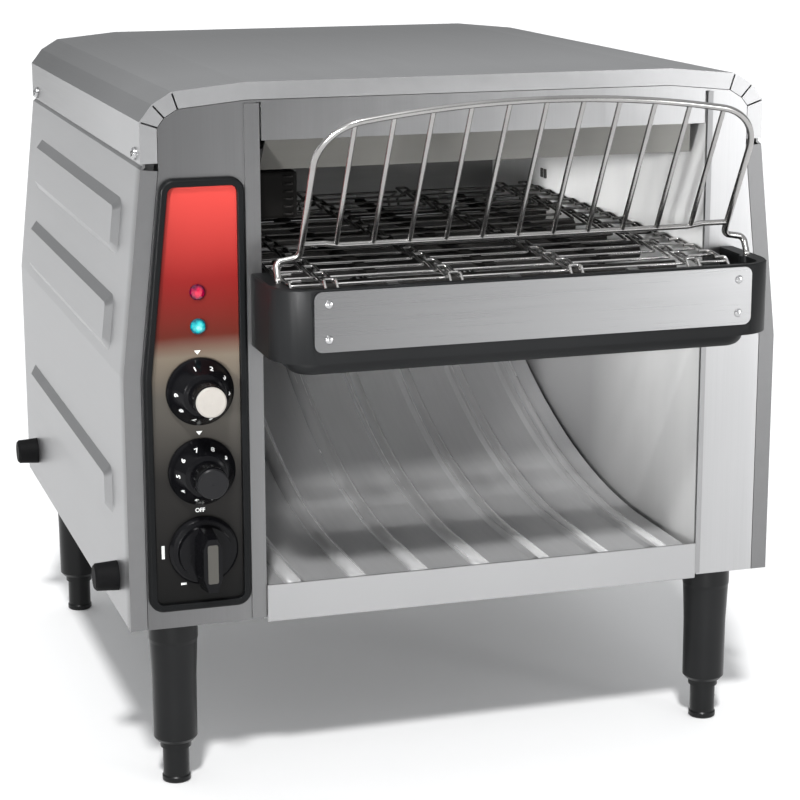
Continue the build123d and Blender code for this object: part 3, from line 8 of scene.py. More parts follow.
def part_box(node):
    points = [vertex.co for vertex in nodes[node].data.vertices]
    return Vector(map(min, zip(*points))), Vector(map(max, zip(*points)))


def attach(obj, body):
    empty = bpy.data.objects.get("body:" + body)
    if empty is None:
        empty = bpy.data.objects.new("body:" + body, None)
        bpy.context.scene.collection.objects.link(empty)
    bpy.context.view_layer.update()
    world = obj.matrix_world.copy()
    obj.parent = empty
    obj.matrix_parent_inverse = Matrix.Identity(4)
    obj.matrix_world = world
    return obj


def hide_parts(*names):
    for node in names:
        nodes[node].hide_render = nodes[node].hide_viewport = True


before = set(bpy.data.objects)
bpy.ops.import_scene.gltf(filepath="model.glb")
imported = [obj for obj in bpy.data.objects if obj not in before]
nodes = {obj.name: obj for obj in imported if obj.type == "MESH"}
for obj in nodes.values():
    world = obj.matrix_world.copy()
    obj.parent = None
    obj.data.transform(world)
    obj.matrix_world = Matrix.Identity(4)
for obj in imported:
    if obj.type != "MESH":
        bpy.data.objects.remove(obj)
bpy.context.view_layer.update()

# ---------------------------------------------------------------------------
# Camera: a long lens a little above the roof, left of the controls, looking
# down on the machine's front.
camera_place = (-0.3956, -1.2811, 0.4961)
camera_heading = -17.51
camera_downward = 13.43
camera_roll = -0.115
camera_data = bpy.data.cameras.new("camera")
camera_data.sensor_width = 36.0
camera_data.lens = 103.2
camera_data.clip_end = 50.0
camera = bpy.data.objects.new("camera", camera_data)
bpy.context.scene.collection.objects.link(camera)
camera.matrix_world = (
    Matrix.Translation(camera_place)
    @ Matrix.Rotation(math.radians(camera_heading), 4, "Z")
    @ Matrix.Rotation(math.radians(90 - camera_downward), 4, "X")
    @ Matrix.Rotation(math.radians(camera_roll), 4, "Z")
)
bpy.context.scene.camera = camera
bpy.context.scene.view_settings.view_transform = "Standard"


# ---------------------------------------------------------------------------
# Studio: a pale floor under a grey room that brightens overhead, one soft light
# from high at the front left, a panel at the right and two narrow fill lights.
def softbox(name, place, target, size, power, spread):
    data = bpy.data.lights.new(name, "AREA")
    data.shape = "RECTANGLE"
    data.size, data.size_y = size
    data.energy, data.spread = power, math.radians(spread)
    light = bpy.data.objects.new(name, data)
    bpy.context.scene.collection.objects.link(light)
    light.location = place
    light.rotation_euler = (Vector(target) - Vector(place)).to_track_quat("-Z", "Y").to_euler()


softbox("right_panel_light", place=(0.95, -1.25, 0.34), target=(0.12, -0.14, 0.22),
        size=(0.35, 0.5), power=0.3, spread=40)
softbox("chute_light", place=(-0.6, -1.8, 0.22), target=(0.06, 0, 0.15),
        size=(0.3, 0.15), power=0.2, spread=12)
softbox("chamber_light", place=(-1.15, -1.25, 0.5), target=(0.14, 0.02, 0.29),
        size=(0.2, 0.2), power=0.3, spread=9)

towards_overhead = Vector((-0.25, -0.72, 1.0))
overhead_data = bpy.data.lights.new("overhead", "SUN")
overhead_data.energy = 2.5
overhead_data.angle = math.radians(6)
overhead = bpy.data.objects.new("overhead", overhead_data)
bpy.context.scene.collection.objects.link(overhead)
overhead.rotation_euler = (-towards_overhead).to_track_quat("-Z", "Y").to_euler()

room = bpy.data.worlds.new("room")
bpy.context.scene.world = room
room.use_nodes = True
room_nodes, room_links = room.node_tree.nodes, room.node_tree.links
heading = room_nodes.new("ShaderNodeTexCoord")
heading_parts = room_nodes.new("ShaderNodeSeparateXYZ")
brightening = room_nodes.new("ShaderNodeValToRGB")
brightening.color_ramp.elements[0].color = (0.33, 0.335, 0.34, 1)
brightening.color_ramp.elements[1].color = (0.8, 0.81, 0.82, 1)
room_links.new(heading.outputs["Generated"], heading_parts.inputs[0])
room_links.new(heading_parts.outputs["Z"], brightening.inputs["Fac"])
room_links.new(brightening.outputs["Color"], room_nodes["Background"].inputs["Color"])

floor_mesh = bmesh.new()
bmesh.ops.create_grid(floor_mesh, x_segments=1, y_segments=1, size=12.0)
floor_data = bpy.data.meshes.new("floor")
floor_mesh.to_mesh(floor_data)
floor_mesh.free()
floor = bpy.data.objects.new("floor", floor_data)
bpy.context.scene.collection.objects.link(floor)
floor_finish = bpy.data.materials.new("pale_floor")
floor_finish.use_nodes = True
floor_shader = floor_finish.node_tree.nodes["Principled BSDF"]
floor_shader.inputs["Base Color"].default_value = (0.93, 0.93, 0.93, 1)
floor_shader.inputs["Roughness"].default_value = 0.9
floor_data.materials.append(floor_finish)


# ---------------------------------------------------------------------------
# Casing: folded stainless sheet, brushed lengthways on the sides and roof and
# upright on the front. Return flanges close it at the front and rear.
class Term:
    """One socket of a finish; sums written with terms add their own Math nodes."""

    def __init__(self, finish, socket):
        self.finish, self.socket = finish, socket

    def maths(self, operation, *operands):
        return self.finish.node("Math", {"operation": operation}, dict(enumerate(operands)))

    def __add__(self, other):
        return self.maths("ADD", self, other)

    __radd__ = __add__

    def __mul__(self, other):
        return self.maths("MULTIPLY", self, other)

    __rmul__ = __mul__

    def __sub__(self, other):
        return self.maths("SUBTRACT", self, other)

    def __rsub__(self, other):
        return self.maths("SUBTRACT", other, self)

    def __truediv__(self, other):
        return self.maths("DIVIDE", self, other)

    def clamped(self, low, high):
        return self.finish.node("Clamp", {}, {"Value": self, "Min": low, "Max": high})

    def between(self, low, high):
        """0 below low and 1 above high, with an even slope."""
        settings = {"clamp": True}
        return self.finish.node("MapRange", settings, {"Value": self, "From Min": low, "From Max": high})


class Finish:
    """A material whose nodes are added one by one around a Principled shader."""

    def __init__(self, name):
        self.material = bpy.data.materials.new(name)
        self.material.use_nodes = True
        self.tree = self.material.node_tree
        self.shader = self.tree.nodes["Principled BSDF"]

    def node(self, kind, settings, inputs, output=0):
        made = self.tree.nodes.new("ShaderNode" + kind)
        for key, value in settings.items():
            if key == "stops":
                stops = made.color_ramp.elements
                for index, (place, tone) in enumerate(value):
                    stop = stops[index] if index < 2 else stops.new(place)
                    stop.position, stop.color = place, (*tone, 1)
            else:
                setattr(made, key, value)
        for key, value in inputs.items():
            self.feed(made.inputs[key], value)
        return Term(self, made.outputs[output])

    def feed(self, socket, value):
        if isinstance(value, Term):
            self.tree.links.new(value.socket, socket)
        else:
            socket.default_value = value

    def shade(self, **values):
        for key, value in values.items():
            self.feed(self.shader.inputs[key.replace("_", " ")], value)

    def place(self, x=1.0, y=1.0, z=1.0):
        """Object coordinates, stretched along each axis."""
        at = self.node("TexCoord", {}, {}, "Object")
        return self.node("Mapping", {}, {"Vector": at, "Scale": (x, y, z)})

    def along(self, axis):
        """Distance along one axis, in metres."""
        return self.node("SeparateXYZ", {}, {"Vector": self.place()}, axis)

    def noise(self, where, scale, detail=3.0, roughness=0.5):
        inputs = {"Vector": where, "Scale": scale, "Detail": detail, "Roughness": roughness}
        return self.node("TexNoise", {}, inputs)

    def blend(self, share, first, second):
        def tone(value):
            return (*value, 1) if isinstance(value, tuple) and len(value) == 3 else value

        return self.node("Mix", {"data_type": "RGBA"}, {0: share, 6: tone(first), 7: tone(second)}, 2)

    def bump(self, height, depth, strength=1.0):
        return self.node("Bump", {}, {"Height": height, "Distance": depth, "Strength": strength})


def grey(value):
    """Steel's neutral grey, a hundredth bluer."""
    return (value, value, value * 1.01)


def brushed_steel(name, tone, along, rough=0.34, grain=0.12, cloud=0.08, drift=None):
    """Stainless sheet whose fine scratches run along one axis.

    drift is (axis, start, end, tone there): a tone painted to change along the sheet, standing in for
    light and shade."""
    finish = Finish(name)

    def drawn_out(lengthways, crossways):
        scales = {axis: lengthways if axis == along else crossways for axis in "xyz"}
        return finish.place(**scales)

    scratches = finish.noise(drawn_out(lengthways=14.0, crossways=1500.0), 1.0, 2.0, 0.6)
    streaks = finish.noise(drawn_out(lengthways=5.0, crossways=160.0), 1.0, 3.0)
    clouds = finish.noise(finish.place(), 9.0, 2.0)
    mix = scratches * grain + streaks * grain + clouds * cloud
    share = (mix / (2 * grain + cloud)).clamped(0.0, 1.0)

    def mottled(middle):
        dark = tuple(part * (1 - grain) for part in middle)
        light = tuple(part * (1 + grain) for part in middle)
        return finish.blend(share, dark, light)

    colour = mottled(tone)
    if drift:
        axis, start, end, second = drift
        colour = finish.blend(finish.along(axis).between(start, end), colour, mottled(second))
    finish.shade(
        Base_Color=colour,
        Metallic=1.0,
        Roughness=(rough - 0.06) + scratches * 0.08 + streaks * 0.05,
        Normal=finish.bump(scratches + streaks * 0.5, 0.00004, 0.5),
    )
    return finish.material


def dress(finish, *names):
    """Gives carried-over pieces their finish."""
    for name in names:
        slots = nodes[name].data.materials
        slots.clear()
        slots.append(finish)


def soften(width, segments, *names, angle=24.0):
    """Folded and moulded edges are slightly round and catch the light."""
    for name in names:
        weld = nodes[name].modifiers.new("weld", "WELD")
        weld.merge_threshold = 0.00001
        edge = nodes[name].modifiers.new("edge", "BEVEL")
        edge.width, edge.segments = width, segments
        edge.limit_method, edge.angle_limit = "ANGLE", math.radians(angle)
        edge.harden_normals = True


front_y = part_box("front_fascia")[0].y
front_left_x, front_right_x = -0.18, 0.18
# Painted shade: the sides are darker at their front edge, where they fold round to the front.
side_steel = brushed_steel("side_steel", grey(0.2), "y", 0.38,
                           drift=("Y", front_y + 0.002, front_y + 0.012, grey(0.38)))
# Painted reflection: the roof is brighter at the front and darker towards the rear.
roof_steel = brushed_steel("roof_steel", grey(0.4), "y", 0.34,
                           drift=("Y", front_y + 0.06, front_y + 0.3, grey(0.24)))
# Painted reflection: the front, and the left lining with it, are dark at the left and bright at the right.
front_steel = brushed_steel("front_steel", grey(0.15), "z", 0.34,
                            drift=("X", front_left_x, front_right_x, grey(0.46)))
pan_steel = brushed_steel("pan_steel", grey(0.36), "x", 0.42)
dress(side_steel, "left_side_panel", "right_side_panel")
dress(roof_steel, "top_cover")
dress(front_steel, "front_fascia", "left_inner_wall")
dress(pan_steel, "rear_panel", "base_plate")
soften(0.0005, 2, "left_side_panel", "right_side_panel")
soften(0.0003, 1, "front_fascia", "rear_panel")

# ---------------------------------------------------------------------------
# Fasteners: bright steel. Pan-head screws with a cross slot hold the cover's
# skirt, round rivets hold the tray's plate, and nuts hold the legs.
screw_steel = brushed_steel("screw_steel", grey(0.5), "x", 0.26, 0.05)
dress(screw_steel, "cover_screws", "plate_rivets", "leg_nuts")
soften(0.0003, 2, "cover_screws", "plate_rivets")


def finished(shape, name, finish, body, smooth=False):
    """Makes a piece of a modelled shape and fixes it to the body that carries it."""
    data = bpy.data.meshes.new(name)
    shape.to_mesh(data)
    shape.free()
    for face in data.polygons:
        face.use_smooth = smooth
    piece = bpy.data.objects.new(name, data)
    bpy.context.scene.collection.objects.link(piece)
    data.materials.append(finish)
    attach(piece, body)
    return piece


slot_length, slot_width, slot_depth = 0.0034, 0.0007, 0.0005
slot_turn = 0.5
slot_sunk = 0.0002
head_radius = 0.0034


def recess(x, y, z):
    """Cross slot pressed into a screw head on the side of the cover."""
    shape = bmesh.new()
    for length, height in ((slot_length, slot_width), (slot_width, slot_length)):
        bar = bmesh.ops.create_cube(shape, size=1.0)["verts"]
        bmesh.ops.scale(shape, vec=(slot_depth, length, height), verts=bar)
    turned = Matrix.Rotation(slot_turn, 3, "X")
    bmesh.ops.rotate(shape, cent=(0, 0, 0), matrix=turned, verts=shape.verts)
    bmesh.ops.translate(shape, vec=(x, y, z), verts=shape.verts)
    return shape


# The cross slots are near-black boxes in the screw heads: painted shade in the slots, mottled a little.
slot_dark = Finish("slot_dark")
slot_shade_mottle = slot_dark.noise(slot_dark.place(), 900.0, 3.0)
slot_dark.shade(
    Base_Color=slot_dark.blend(slot_shade_mottle, (0.01, 0.01, 0.01), (0.04, 0.038, 0.036)),
    Roughness=0.5 + slot_shade_mottle * 0.2,
)
screw_low, screw_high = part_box("cover_screws")
screw_z = (screw_low.z + screw_high.z) / 2
for side_name, screw_x in (("left", screw_low.x + slot_sunk), ("right", screw_high.x - slot_sunk)):
    for end_name, screw_y in (("front", screw_low.y + head_radius), ("rear", screw_high.y - head_radius)):
        finished(recess(screw_x, screw_y, screw_z), f"{side_name}_{end_name}_screw_recess",
                 slot_dark.material, "housing")

# ---------------------------------------------------------------------------
# Toasting chamber: plain stainless linings, sooted at the rear and with painted
# shade deep down beside the chute, a hood plate with heat stains, brightened from
# left to right as painted light, burnt runners under the belt and sheathed
# heating tubes.
hem_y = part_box("right_inner_wall")[0].y
lining_steel = Finish("lining_steel")
sheen = lining_steel.noise(lining_steel.place(60, 60, 4), 1.0, 3.0)
rub = lining_steel.noise(lining_steel.place(), 22.0, 3.0)
depth_in, height_up = lining_steel.along("Y"), lining_steel.along("Z")
behind_hem = depth_in.between(hem_y + 0.0015, hem_y + 0.003)
shaded = depth_in.between(hem_y + 0.02, hem_y + 0.16) * (1.0 - height_up.between(0.24, 0.27))
bare_lining = lining_steel.blend(sheen * 0.5 + rub * 0.5, (0.6, 0.6, 0.6), (0.8, 0.8, 0.79))
lining_tone = lining_steel.blend(shaded, bare_lining, grey(0.3))
lining_steel.shade(
    Base_Color=lining_steel.blend(behind_hem, grey(0.3), lining_tone),
    Metallic=1.0 - behind_hem * 0.85,
    Roughness=0.4 + rub * 0.16,
    Normal=lining_steel.bump(sheen, 0.00004, 0.4),
)
dress(lining_steel.material, "right_inner_wall", "upper_reflector")

sooted_steel = Finish("sooted_steel")
smoke = sooted_steel.noise(sooted_steel.place(4, 4, 18), 3.0, 4.0)
wiped = sooted_steel.noise(sooted_steel.place(8, 8, 140), 1.0, 2.0)
sooted_steel.shade(
    Base_Color=sooted_steel.blend(smoke * 0.6 + wiped * 0.4, (0.1, 0.1, 0.1), (0.26, 0.26, 0.255)),
    Metallic=0.85,
    Roughness=0.4 + wiped * 0.15,
)
dress(sooted_steel.material, "rear_inner_wall")

burnt_steel = Finish("burnt_steel")
scale_marks = burnt_steel.noise(burnt_steel.place(), 70.0, 4.0)
burnt_steel.shade(
    Base_Color=burnt_steel.blend(scale_marks, (0.002, 0.002, 0.002), (0.01, 0.009, 0.008)),
    Specular_IOR_Level=0.12,
    Roughness=0.55 + scale_marks * 0.2,
)
dress(burnt_steel.material, "belt_rails")

heat_and_light_tint = Finish("heat_and_light_tint")
stain = heat_and_light_tint.noise(heat_and_light_tint.place(12, 60, 60), 1.0, 4.0)
streak = heat_and_light_tint.noise(heat_and_light_tint.place(70, 12, 12), 1.0, 2.0)
# Painted light: the plate brightens from left to right; the stains and streaks on top are its heat
# colouring.
light_and_heat_stain = (heat_and_light_tint.along("X").between(-0.13, 0.16) * 0.7 + stain * 0.2 + streak * 0.1).clamped(0, 1)
heat_and_light_tint.shade(
    Base_Color=heat_and_light_tint.blend(light_and_heat_stain, (0.17, 0.165, 0.15), (0.52, 0.515, 0.49)),
    Metallic=0.75,
    Roughness=0.34 + stain * 0.12,
    Normal=heat_and_light_tint.bump(streak, 0.0001, 0.25),
)
dress(heat_and_light_tint.material, "hood_deflector")

heater_sheath = Finish("heater_sheath")
oxide = heater_sheath.noise(heater_sheath.place(40, 200, 200), 1.0, 4.0)
heater_sheath.shade(
    Base_Color=heater_sheath.blend(oxide, (0.008, 0.0075, 0.007), (0.03, 0.027, 0.025)),
    Metallic=0.3,
    Roughness=0.5 + oxide * 0.2,
    Normal=heater_sheath.bump(oxide, 0.0001, 0.4),
)
dress(heater_sheath.material, "upper_heaters", "lower_heaters")


# ---------------------------------------------------------------------------
# Black box on the left lining under the hood: a cover of blackened sheet metal
# with rounded edges, and small wire loops down the inner edge of its face.
def bar_of(shape, low, high):
    """Square-edged block between two corners, added to the shape."""
    low, high = Vector(low), Vector(high)
    block = bmesh.ops.create_cube(shape, size=1.0)["verts"]
    bmesh.ops.scale(shape, vec=high - low, verts=block)
    bmesh.ops.translate(shape, vec=(low + high) / 2, verts=block)


def rounded(shape, offset, segments):
    """Takes the sharp edges off everything in the shape."""
    bmesh.ops.bevel(shape, geom=shape.edges[:], offset=offset, offset_type="OFFSET", segments=segments,
                    profile=0.5, affect="EDGES", material=-1, clamp_overlap=True)


box_front, box_length = front_y + 0.026, 0.052
box_foot, box_top = 0.3075, 0.3325
box_left, box_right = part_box("left_inner_wall")[1].x - 0.007, -0.084
box_edge = 0.0015
loop_wire, loop_bend = 0.0005, 0.0023
loop_count, loop_spacing = 6, 0.0040
loop_x, lowest_loop = -0.0892, 0.3100

cover = bmesh.new()
bar_of(cover, (box_left, box_front, box_foot), (box_right, box_front + box_length, box_top))
rounded(cover, box_edge, 2)
finished(cover, "chamber_box", burnt_steel.material, "housing")

loops = bmesh.new()
for turn in range(loop_count):
    ring = bmesh.ops.create_circle(loops, segments=8, radius=loop_wire)["verts"]
    bmesh.ops.rotate(loops, cent=(0, 0, 0), matrix=Matrix.Rotation(math.pi / 2, 3, "X"), verts=ring)
    bmesh.ops.translate(loops, vec=(loop_bend, 0, 0), verts=ring)
    edges = list({edge for vert in ring for edge in vert.link_edges})
    bmesh.ops.spin(loops, geom=ring + edges, cent=(0, 0, 0), axis=(0, 0, 1), angle=2 * math.pi,
                   steps=12, use_merge=True)
    made = [vert for vert in loops.verts if not vert.tag]
    bmesh.ops.translate(loops, vec=(loop_x, box_front, lowest_loop + loop_spacing * turn), verts=made)
    for vert in loops.verts:
        vert.tag = True
bmesh.ops.recalc_face_normals(loops, faces=loops.faces)
finished(loops, "chamber_box_loops", heater_sheath.material, "housing", True)

# ---------------------------------------------------------------------------
# Lining details: the turned edge of the sheet where the rear and right linings
# meet, and the upper reflector's small slotted bracket on the right lining.
right_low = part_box("right_inner_wall")[0]
rear_low, rear_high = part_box("rear_inner_wall")
lining_sheet = 0.0012
seam_foot, seam_drop = 0.212, 0.002
seam = bmesh.new()
bar_of(seam, (right_low.x - lining_sheet, rear_low.y - lining_sheet, seam_foot),
       (right_low.x, rear_low.y, rear_high.z - seam_drop))
rounded(seam, 0.0003, 1)
finished(seam, "lining_corner", lining_steel.material, "housing")

bracket_front, bracket_rear = 0.104, 0.1075
bracket_foot, bracket_top = 0.2905, 0.2965
beside_slot = (-0.0045, 0.0015)
bracket = bmesh.new()
for shift in beside_slot:
    bar_of(bracket, (right_low.x - lining_sheet, bracket_front + shift, bracket_foot),
           (right_low.x, bracket_rear + shift, bracket_top))
rounded(bracket, 0.0005, 2)
# The bracket is drawn in the slots' near-black: painted shade.
finished(bracket, "reflector_bracket", slot_dark.material, "housing")

# ---------------------------------------------------------------------------
# Belt: stainless wire strands across the machine, each doubled forward at the
# links and hooked over the next one, running round wheels on two shafts.
wire_steel = Finish("wire_steel")
soot = wire_steel.noise(wire_steel.place(), 60.0, 4.0)
drawn = wire_steel.noise(wire_steel.place(), 900.0, 2.0)
# Painted shade: the wires are bright at the front and near-black deeper in the chamber, by where they are,
# not by heat.
deep_painted_shade = wire_steel.along("Y").between(front_y - 0.01, front_y + 0.06)
lit_wire_tone = wire_steel.blend(soot, (0.45, 0.44, 0.43), (0.85, 0.84, 0.83))
shaded_wire_tone = wire_steel.blend(soot, (0.02, 0.02, 0.02), (0.2, 0.195, 0.19))
wire_steel.shade(
    Base_Color=wire_steel.blend(deep_painted_shade, lit_wire_tone, shaded_wire_tone),
    Metallic=1.0,
    Roughness=0.16 + soot * 0.12,
    Normal=wire_steel.bump(drawn, 0.00003, 0.4),
)

wire = 0.0017
loop_radius = 0.015
strand_pitch = 0.0199
column_count, column_inset = 4, 0.0218
lift, reach, finger = wire + 0.0005, wire, 0.0032
crest_reach, crest_lift = 0.6, 1.05
wire_bend = 0.0016
belt_low, belt_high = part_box("wire_belt")
idler_low, idler_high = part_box("front_shaft")
drive_low, drive_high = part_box("rear_shaft")
idler_y, drive_y = (idler_low.y + idler_high.y) / 2, (drive_low.y + drive_high.y) / 2
shaft_z = (idler_low.z + idler_high.z) / 2
straight = drive_y - idler_y
around = 2 * straight + 2 * math.pi * loop_radius
strand_count = round(around / strand_pitch)
first_column, last_column = belt_low.x + column_inset, belt_high.x - column_inset
columns = [first_column + (last_column - first_column) * index / (column_count - 1)
           for index in range(column_count)]


def on_loop(distance):
    """Point of the belt's loop with its directions of travel and outwards, all as (y, z)."""
    curve = math.pi * loop_radius
    distance %= around
    side = 1 if distance < straight + curve else -1
    run = distance if side == 1 else distance - straight - curve
    turn = max(run - straight, 0) / loop_radius
    middle = idler_y + min(run, straight) if side == 1 else drive_y - min(run, straight)
    out = Vector((side * math.sin(turn), side * math.cos(turn)))
    onward = Vector((side * math.cos(turn), -side * math.sin(turn)))
    return Vector((middle, shaft_z)) + out * loop_radius, onward, out


def eased(points, radius):
    """Path with every corner taken as a short bend."""
    share_of_leg = 0.45
    path = [points[0]]
    for before, corner, after in zip(points, points[1:], points[2:]):
        back, ahead = before - corner, after - corner
        near = min(radius, back.length * share_of_leg, ahead.length * share_of_leg)
        start, end = corner + back.normalized() * near, corner + ahead.normalized() * near
        path += [start, (start + end) / 4 + corner / 2, end]
    return path + [points[-1]]


def wires(name, paths, radius, finish, body):
    """Round wires along open paths, as one piece."""
    curve = bpy.data.curves.new(name, "CURVE")
    curve.dimensions = "3D"
    curve.bevel_depth, curve.bevel_resolution, curve.use_fill_caps = radius, 2, True
    for path in paths:
        line = curve.splines.new("POLY")
        line.points.add(len(path) - 1)
        for point, place in zip(line.points, path):
            point.co = (*place, 1.0)
    drawn_wire = bpy.data.objects.new(name, curve)
    bpy.context.scene.collection.objects.link(drawn_wire)
    made = bpy.data.meshes.new_from_object(drawn_wire)
    bpy.data.objects.remove(drawn_wire)
    piece = bpy.data.objects.new(name, made)
    bpy.context.scene.collection.objects.link(piece)
    made.materials.clear()
    made.materials.append(finish)
    for face in made.polygons:
        face.use_smooth = True
    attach(piece, body)
    return piece


def strand_path(index):
    """One strand, from its left hook over four doubled links to its right hook."""
    step = around / strand_count
    here = on_loop(index * step)[0]
    next_one, onward, out = on_loop((index + 1) * step)
    hook = next_one + onward * reach + out * lift
    crest = next_one - onward * reach * crest_reach + out * lift * crest_lift
    left, right = belt_low.x + wire / 2, belt_high.x - wire / 2
    path = [(left + 2 * finger, hook), (left, hook), (left, here)]
    for x in columns:
        path += [(x - finger, here), (x - finger, crest), (x - finger, hook),
                 (x + finger, hook), (x + finger, crest), (x + finger, here)]
    path += [(right, here), (right, hook), (right - 2 * finger, hook)]
    return eased([Vector((x, *spot)) for x, spot in path], wire_bend)


strands = [strand_path(index) for index in range(strand_count)]
belt = wires("belt_strands", strands, wire / 2, wire_steel.material, "housing")
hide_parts("wire_belt")

turned_steel = brushed_steel("turned_steel", grey(0.4), "x", 0.3, 0.06)
dress(turned_steel, "front_shaft", "rear_shaft", "rear_shaft_bushes", "front_belt_wheels",
      "rear_belt_wheels", "motor_shaft", "speed_spindle", "power_spindle", "function_spindle")

# ---------------------------------------------------------------------------
# Feed tray: black moulded plastic with a faint sheen, and a bare brushed steel
# plate riveted into its front.
tray_plastic = Finish("tray_plastic")
pores = tray_plastic.noise(tray_plastic.place(), 1400.0, 2.0)
haze = tray_plastic.noise(tray_plastic.place(), 14.0, 2.0)
tray_plastic.shade(
    Base_Color=tray_plastic.blend(haze, (0.004, 0.0042, 0.0045), (0.009, 0.0095, 0.01)),
    Specular_IOR_Level=0.15,
    Roughness=0.4 + haze * 0.12,
    Normal=tray_plastic.bump(pores, 0.00008, 0.35),
)
dress(tray_plastic.material, "feed_tray")
soften(0.0008, 2, "feed_tray")
# Painted reflection: the plate is darker at the left and brighter at the right.
plate_steel = brushed_steel("plate_steel", grey(0.22), "x", 0.28, 0.1, drift=("X", -0.1, 0.13, grey(0.44)))
dress(plate_steel, "tray_plate")

# ---------------------------------------------------------------------------
# Rack: polished wires welded into an arched frame with a wire across its foot,
# jogged near both ends, and eleven bars standing between them.
rack_wire = Finish("rack_wire")
tarnish = rack_wire.noise(rack_wire.place(), 40.0, 3.0)
rack_wire.shade(
    Base_Color=rack_wire.blend(tarnish, (0.3, 0.295, 0.29), (0.5, 0.49, 0.48)),
    Metallic=1.0,
    Roughness=0.18 + tarnish * 0.1,
)
dress(rack_wire.material, "bread_rack")

# ---------------------------------------------------------------------------
# Chute: a curved stainless slide with beads pressed up along it, painted much
# brighter than the sheet, partly as wear from the toast and partly as painted
# highlight, and a straight folded lip across its front.
chute_steel = Finish("chute_steel")
grain = chute_steel.noise(chute_steel.place(400, 30, 30), 1.0, 3.0)
film = chute_steel.noise(chute_steel.place(10, 4, 4), 2.0, 3.0)
inward = chute_steel.along("Y").between(front_y - 0.002, front_y + 0.006)
worn = chute_steel.blend(grain * 0.4 + film * 0.6, (0.46, 0.46, 0.465), (0.62, 0.62, 0.625))
chute_steel.shade(
    Base_Color=chute_steel.blend(inward, grey(0.4), worn),
    Metallic=1.0 - inward * 0.6,
    Roughness=0.34 + film * 0.1,
    Normal=chute_steel.bump(grain, 0.00004, 0.4),
)
dress(chute_steel.material, "discharge_chute")

# The beads are painted far brighter than the sheet: partly wear from the toast, partly a painted
# highlight.
bead_steel = Finish("bead_steel")
rub_and_highlight = bead_steel.noise(bead_steel.place(200, 12, 12), 1.0, 3.0)
bead_steel.shade(
    Base_Color=bead_steel.blend(rub_and_highlight, (0.66, 0.66, 0.665), (0.88, 0.88, 0.885)),
    Metallic=0.6,
    Roughness=0.22 + rub_and_highlight * 0.08,
)

chute_low, chute_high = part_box("discharge_chute")
chute_level, bend_y, chute_rise = chute_low.z + 0.018, front_y + 0.06, 0.1093
chute_run = chute_high.y - bend_y
bend_radius = (chute_run ** 2 + chute_rise ** 2) / (2 * chute_rise)
share_of_bend = 0.995
bead_angle = math.asin(chute_run / bend_radius) * share_of_bend
bead_count, bead_centring = 7, 0.45
bead_half, bead_height, bead_sunk = 0.0052, 0.0023, 0.0001
bead_sides, bead_lengths = 12, 96
bead_step = (chute_high.x - chute_low.x) / bead_count
bead_start = chute_low.y + 0.0009
turns = [math.pi * step / bead_sides for step in range(bead_sides + 1)]
beads = bmesh.new()
for index in range(bead_count):
    bead_x = chute_low.x + bead_step * (index + bead_centring)
    arch = [beads.verts.new((bead_x - bead_half * math.cos(turn), bead_start,
                             chute_level - bead_sunk + bead_height * math.sin(turn))) for turn in turns]
    profile = [beads.edges.new(pair) for pair in zip(arch, arch[1:] + arch[:1])]
    made = bmesh.ops.extrude_edge_only(beads, edges=profile)["geom"]
    ahead = [part for part in made if isinstance(part, bmesh.types.BMVert)]
    bmesh.ops.translate(beads, vec=(0, bend_y - bead_start, 0), verts=ahead)
    leading = ahead + [part for part in made if isinstance(part, bmesh.types.BMEdge)]
    bmesh.ops.spin(beads, geom=leading, cent=(0, bend_y, chute_level + bend_radius), axis=(1, 0, 0),
                   angle=bead_angle, steps=bead_lengths)
bmesh.ops.holes_fill(beads, edges=[edge for edge in beads.edges if edge.is_boundary], sides=0)
bmesh.ops.recalc_face_normals(beads, faces=beads.faces)
finished(beads, "chute_beads", bead_steel.material, "chute", True)

lip_beyond, lip_proud = 0.0008, 0.0003
lip_back, lip_rise = 0.0011, 0.0026
lip = bmesh.new()
bar_of(lip, (chute_low.x - lip_beyond, chute_low.y - lip_proud, chute_low.z),
       (chute_high.x, chute_low.y + lip_back, chute_level + lip_rise))
rounded(lip, 0.0003, 1)
finished(lip, "chute_lip", chute_steel.material, "chute")

# ---------------------------------------------------------------------------
# Controls: a black moulded frame round a printed plate that fades from red to
# black, with a grey-brown band of painted reflection below the red, two lamps,
# two dials with round caps, and a pointer knob. What the knobs turn, the
# terminal block, the fan and the cord gland are dark phenolic.
frame_plastic = Finish("frame_plastic")
specks = frame_plastic.noise(frame_plastic.place(), 1200.0, 2.0)
frame_plastic.shade(
    Base_Color=frame_plastic.blend(specks, (0.003, 0.0034, 0.0038), (0.007, 0.0075, 0.008)),
    Specular_IOR_Level=0.12,
    Roughness=0.32 + specks * 0.1,
    Normal=frame_plastic.bump(specks, 0.00005, 0.3),
)
dress(frame_plastic.material, "control_bezel")
soften(0.0005, 2, "control_bezel")

panel_low, panel_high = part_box("control_panel")
panel_print = Finish("panel_print")
ink = panel_print.noise(panel_print.place(), 25.0, 2.0)
level = panel_print.along("Z").between(panel_low.z, panel_high.z) + (ink - 0.5) * 0.02
# The grey-brown stops at 0.5 and 0.6 are a painted reflection; the other stops are the print's fade from
# black to red.
print_and_reflection = panel_print.node("ValToRGB", {"stops": [
    (0.0, (0.004, 0.004, 0.004)), (1.0, (0.44, 0.045, 0.037)), (0.3, (0.018, 0.017, 0.016)),
    (0.5, (0.075, 0.069, 0.06)), (0.6, (0.14, 0.115, 0.088)), (0.65, (0.08, 0.013, 0.008)),
    (0.78, (0.17, 0.01, 0.009)),
]}, {"Fac": level})
panel_print.shade(Base_Color=print_and_reflection, Roughness=0.3 + ink * 0.06, Specular_IOR_Level=0.12)
dress(panel_print.material, "control_panel")

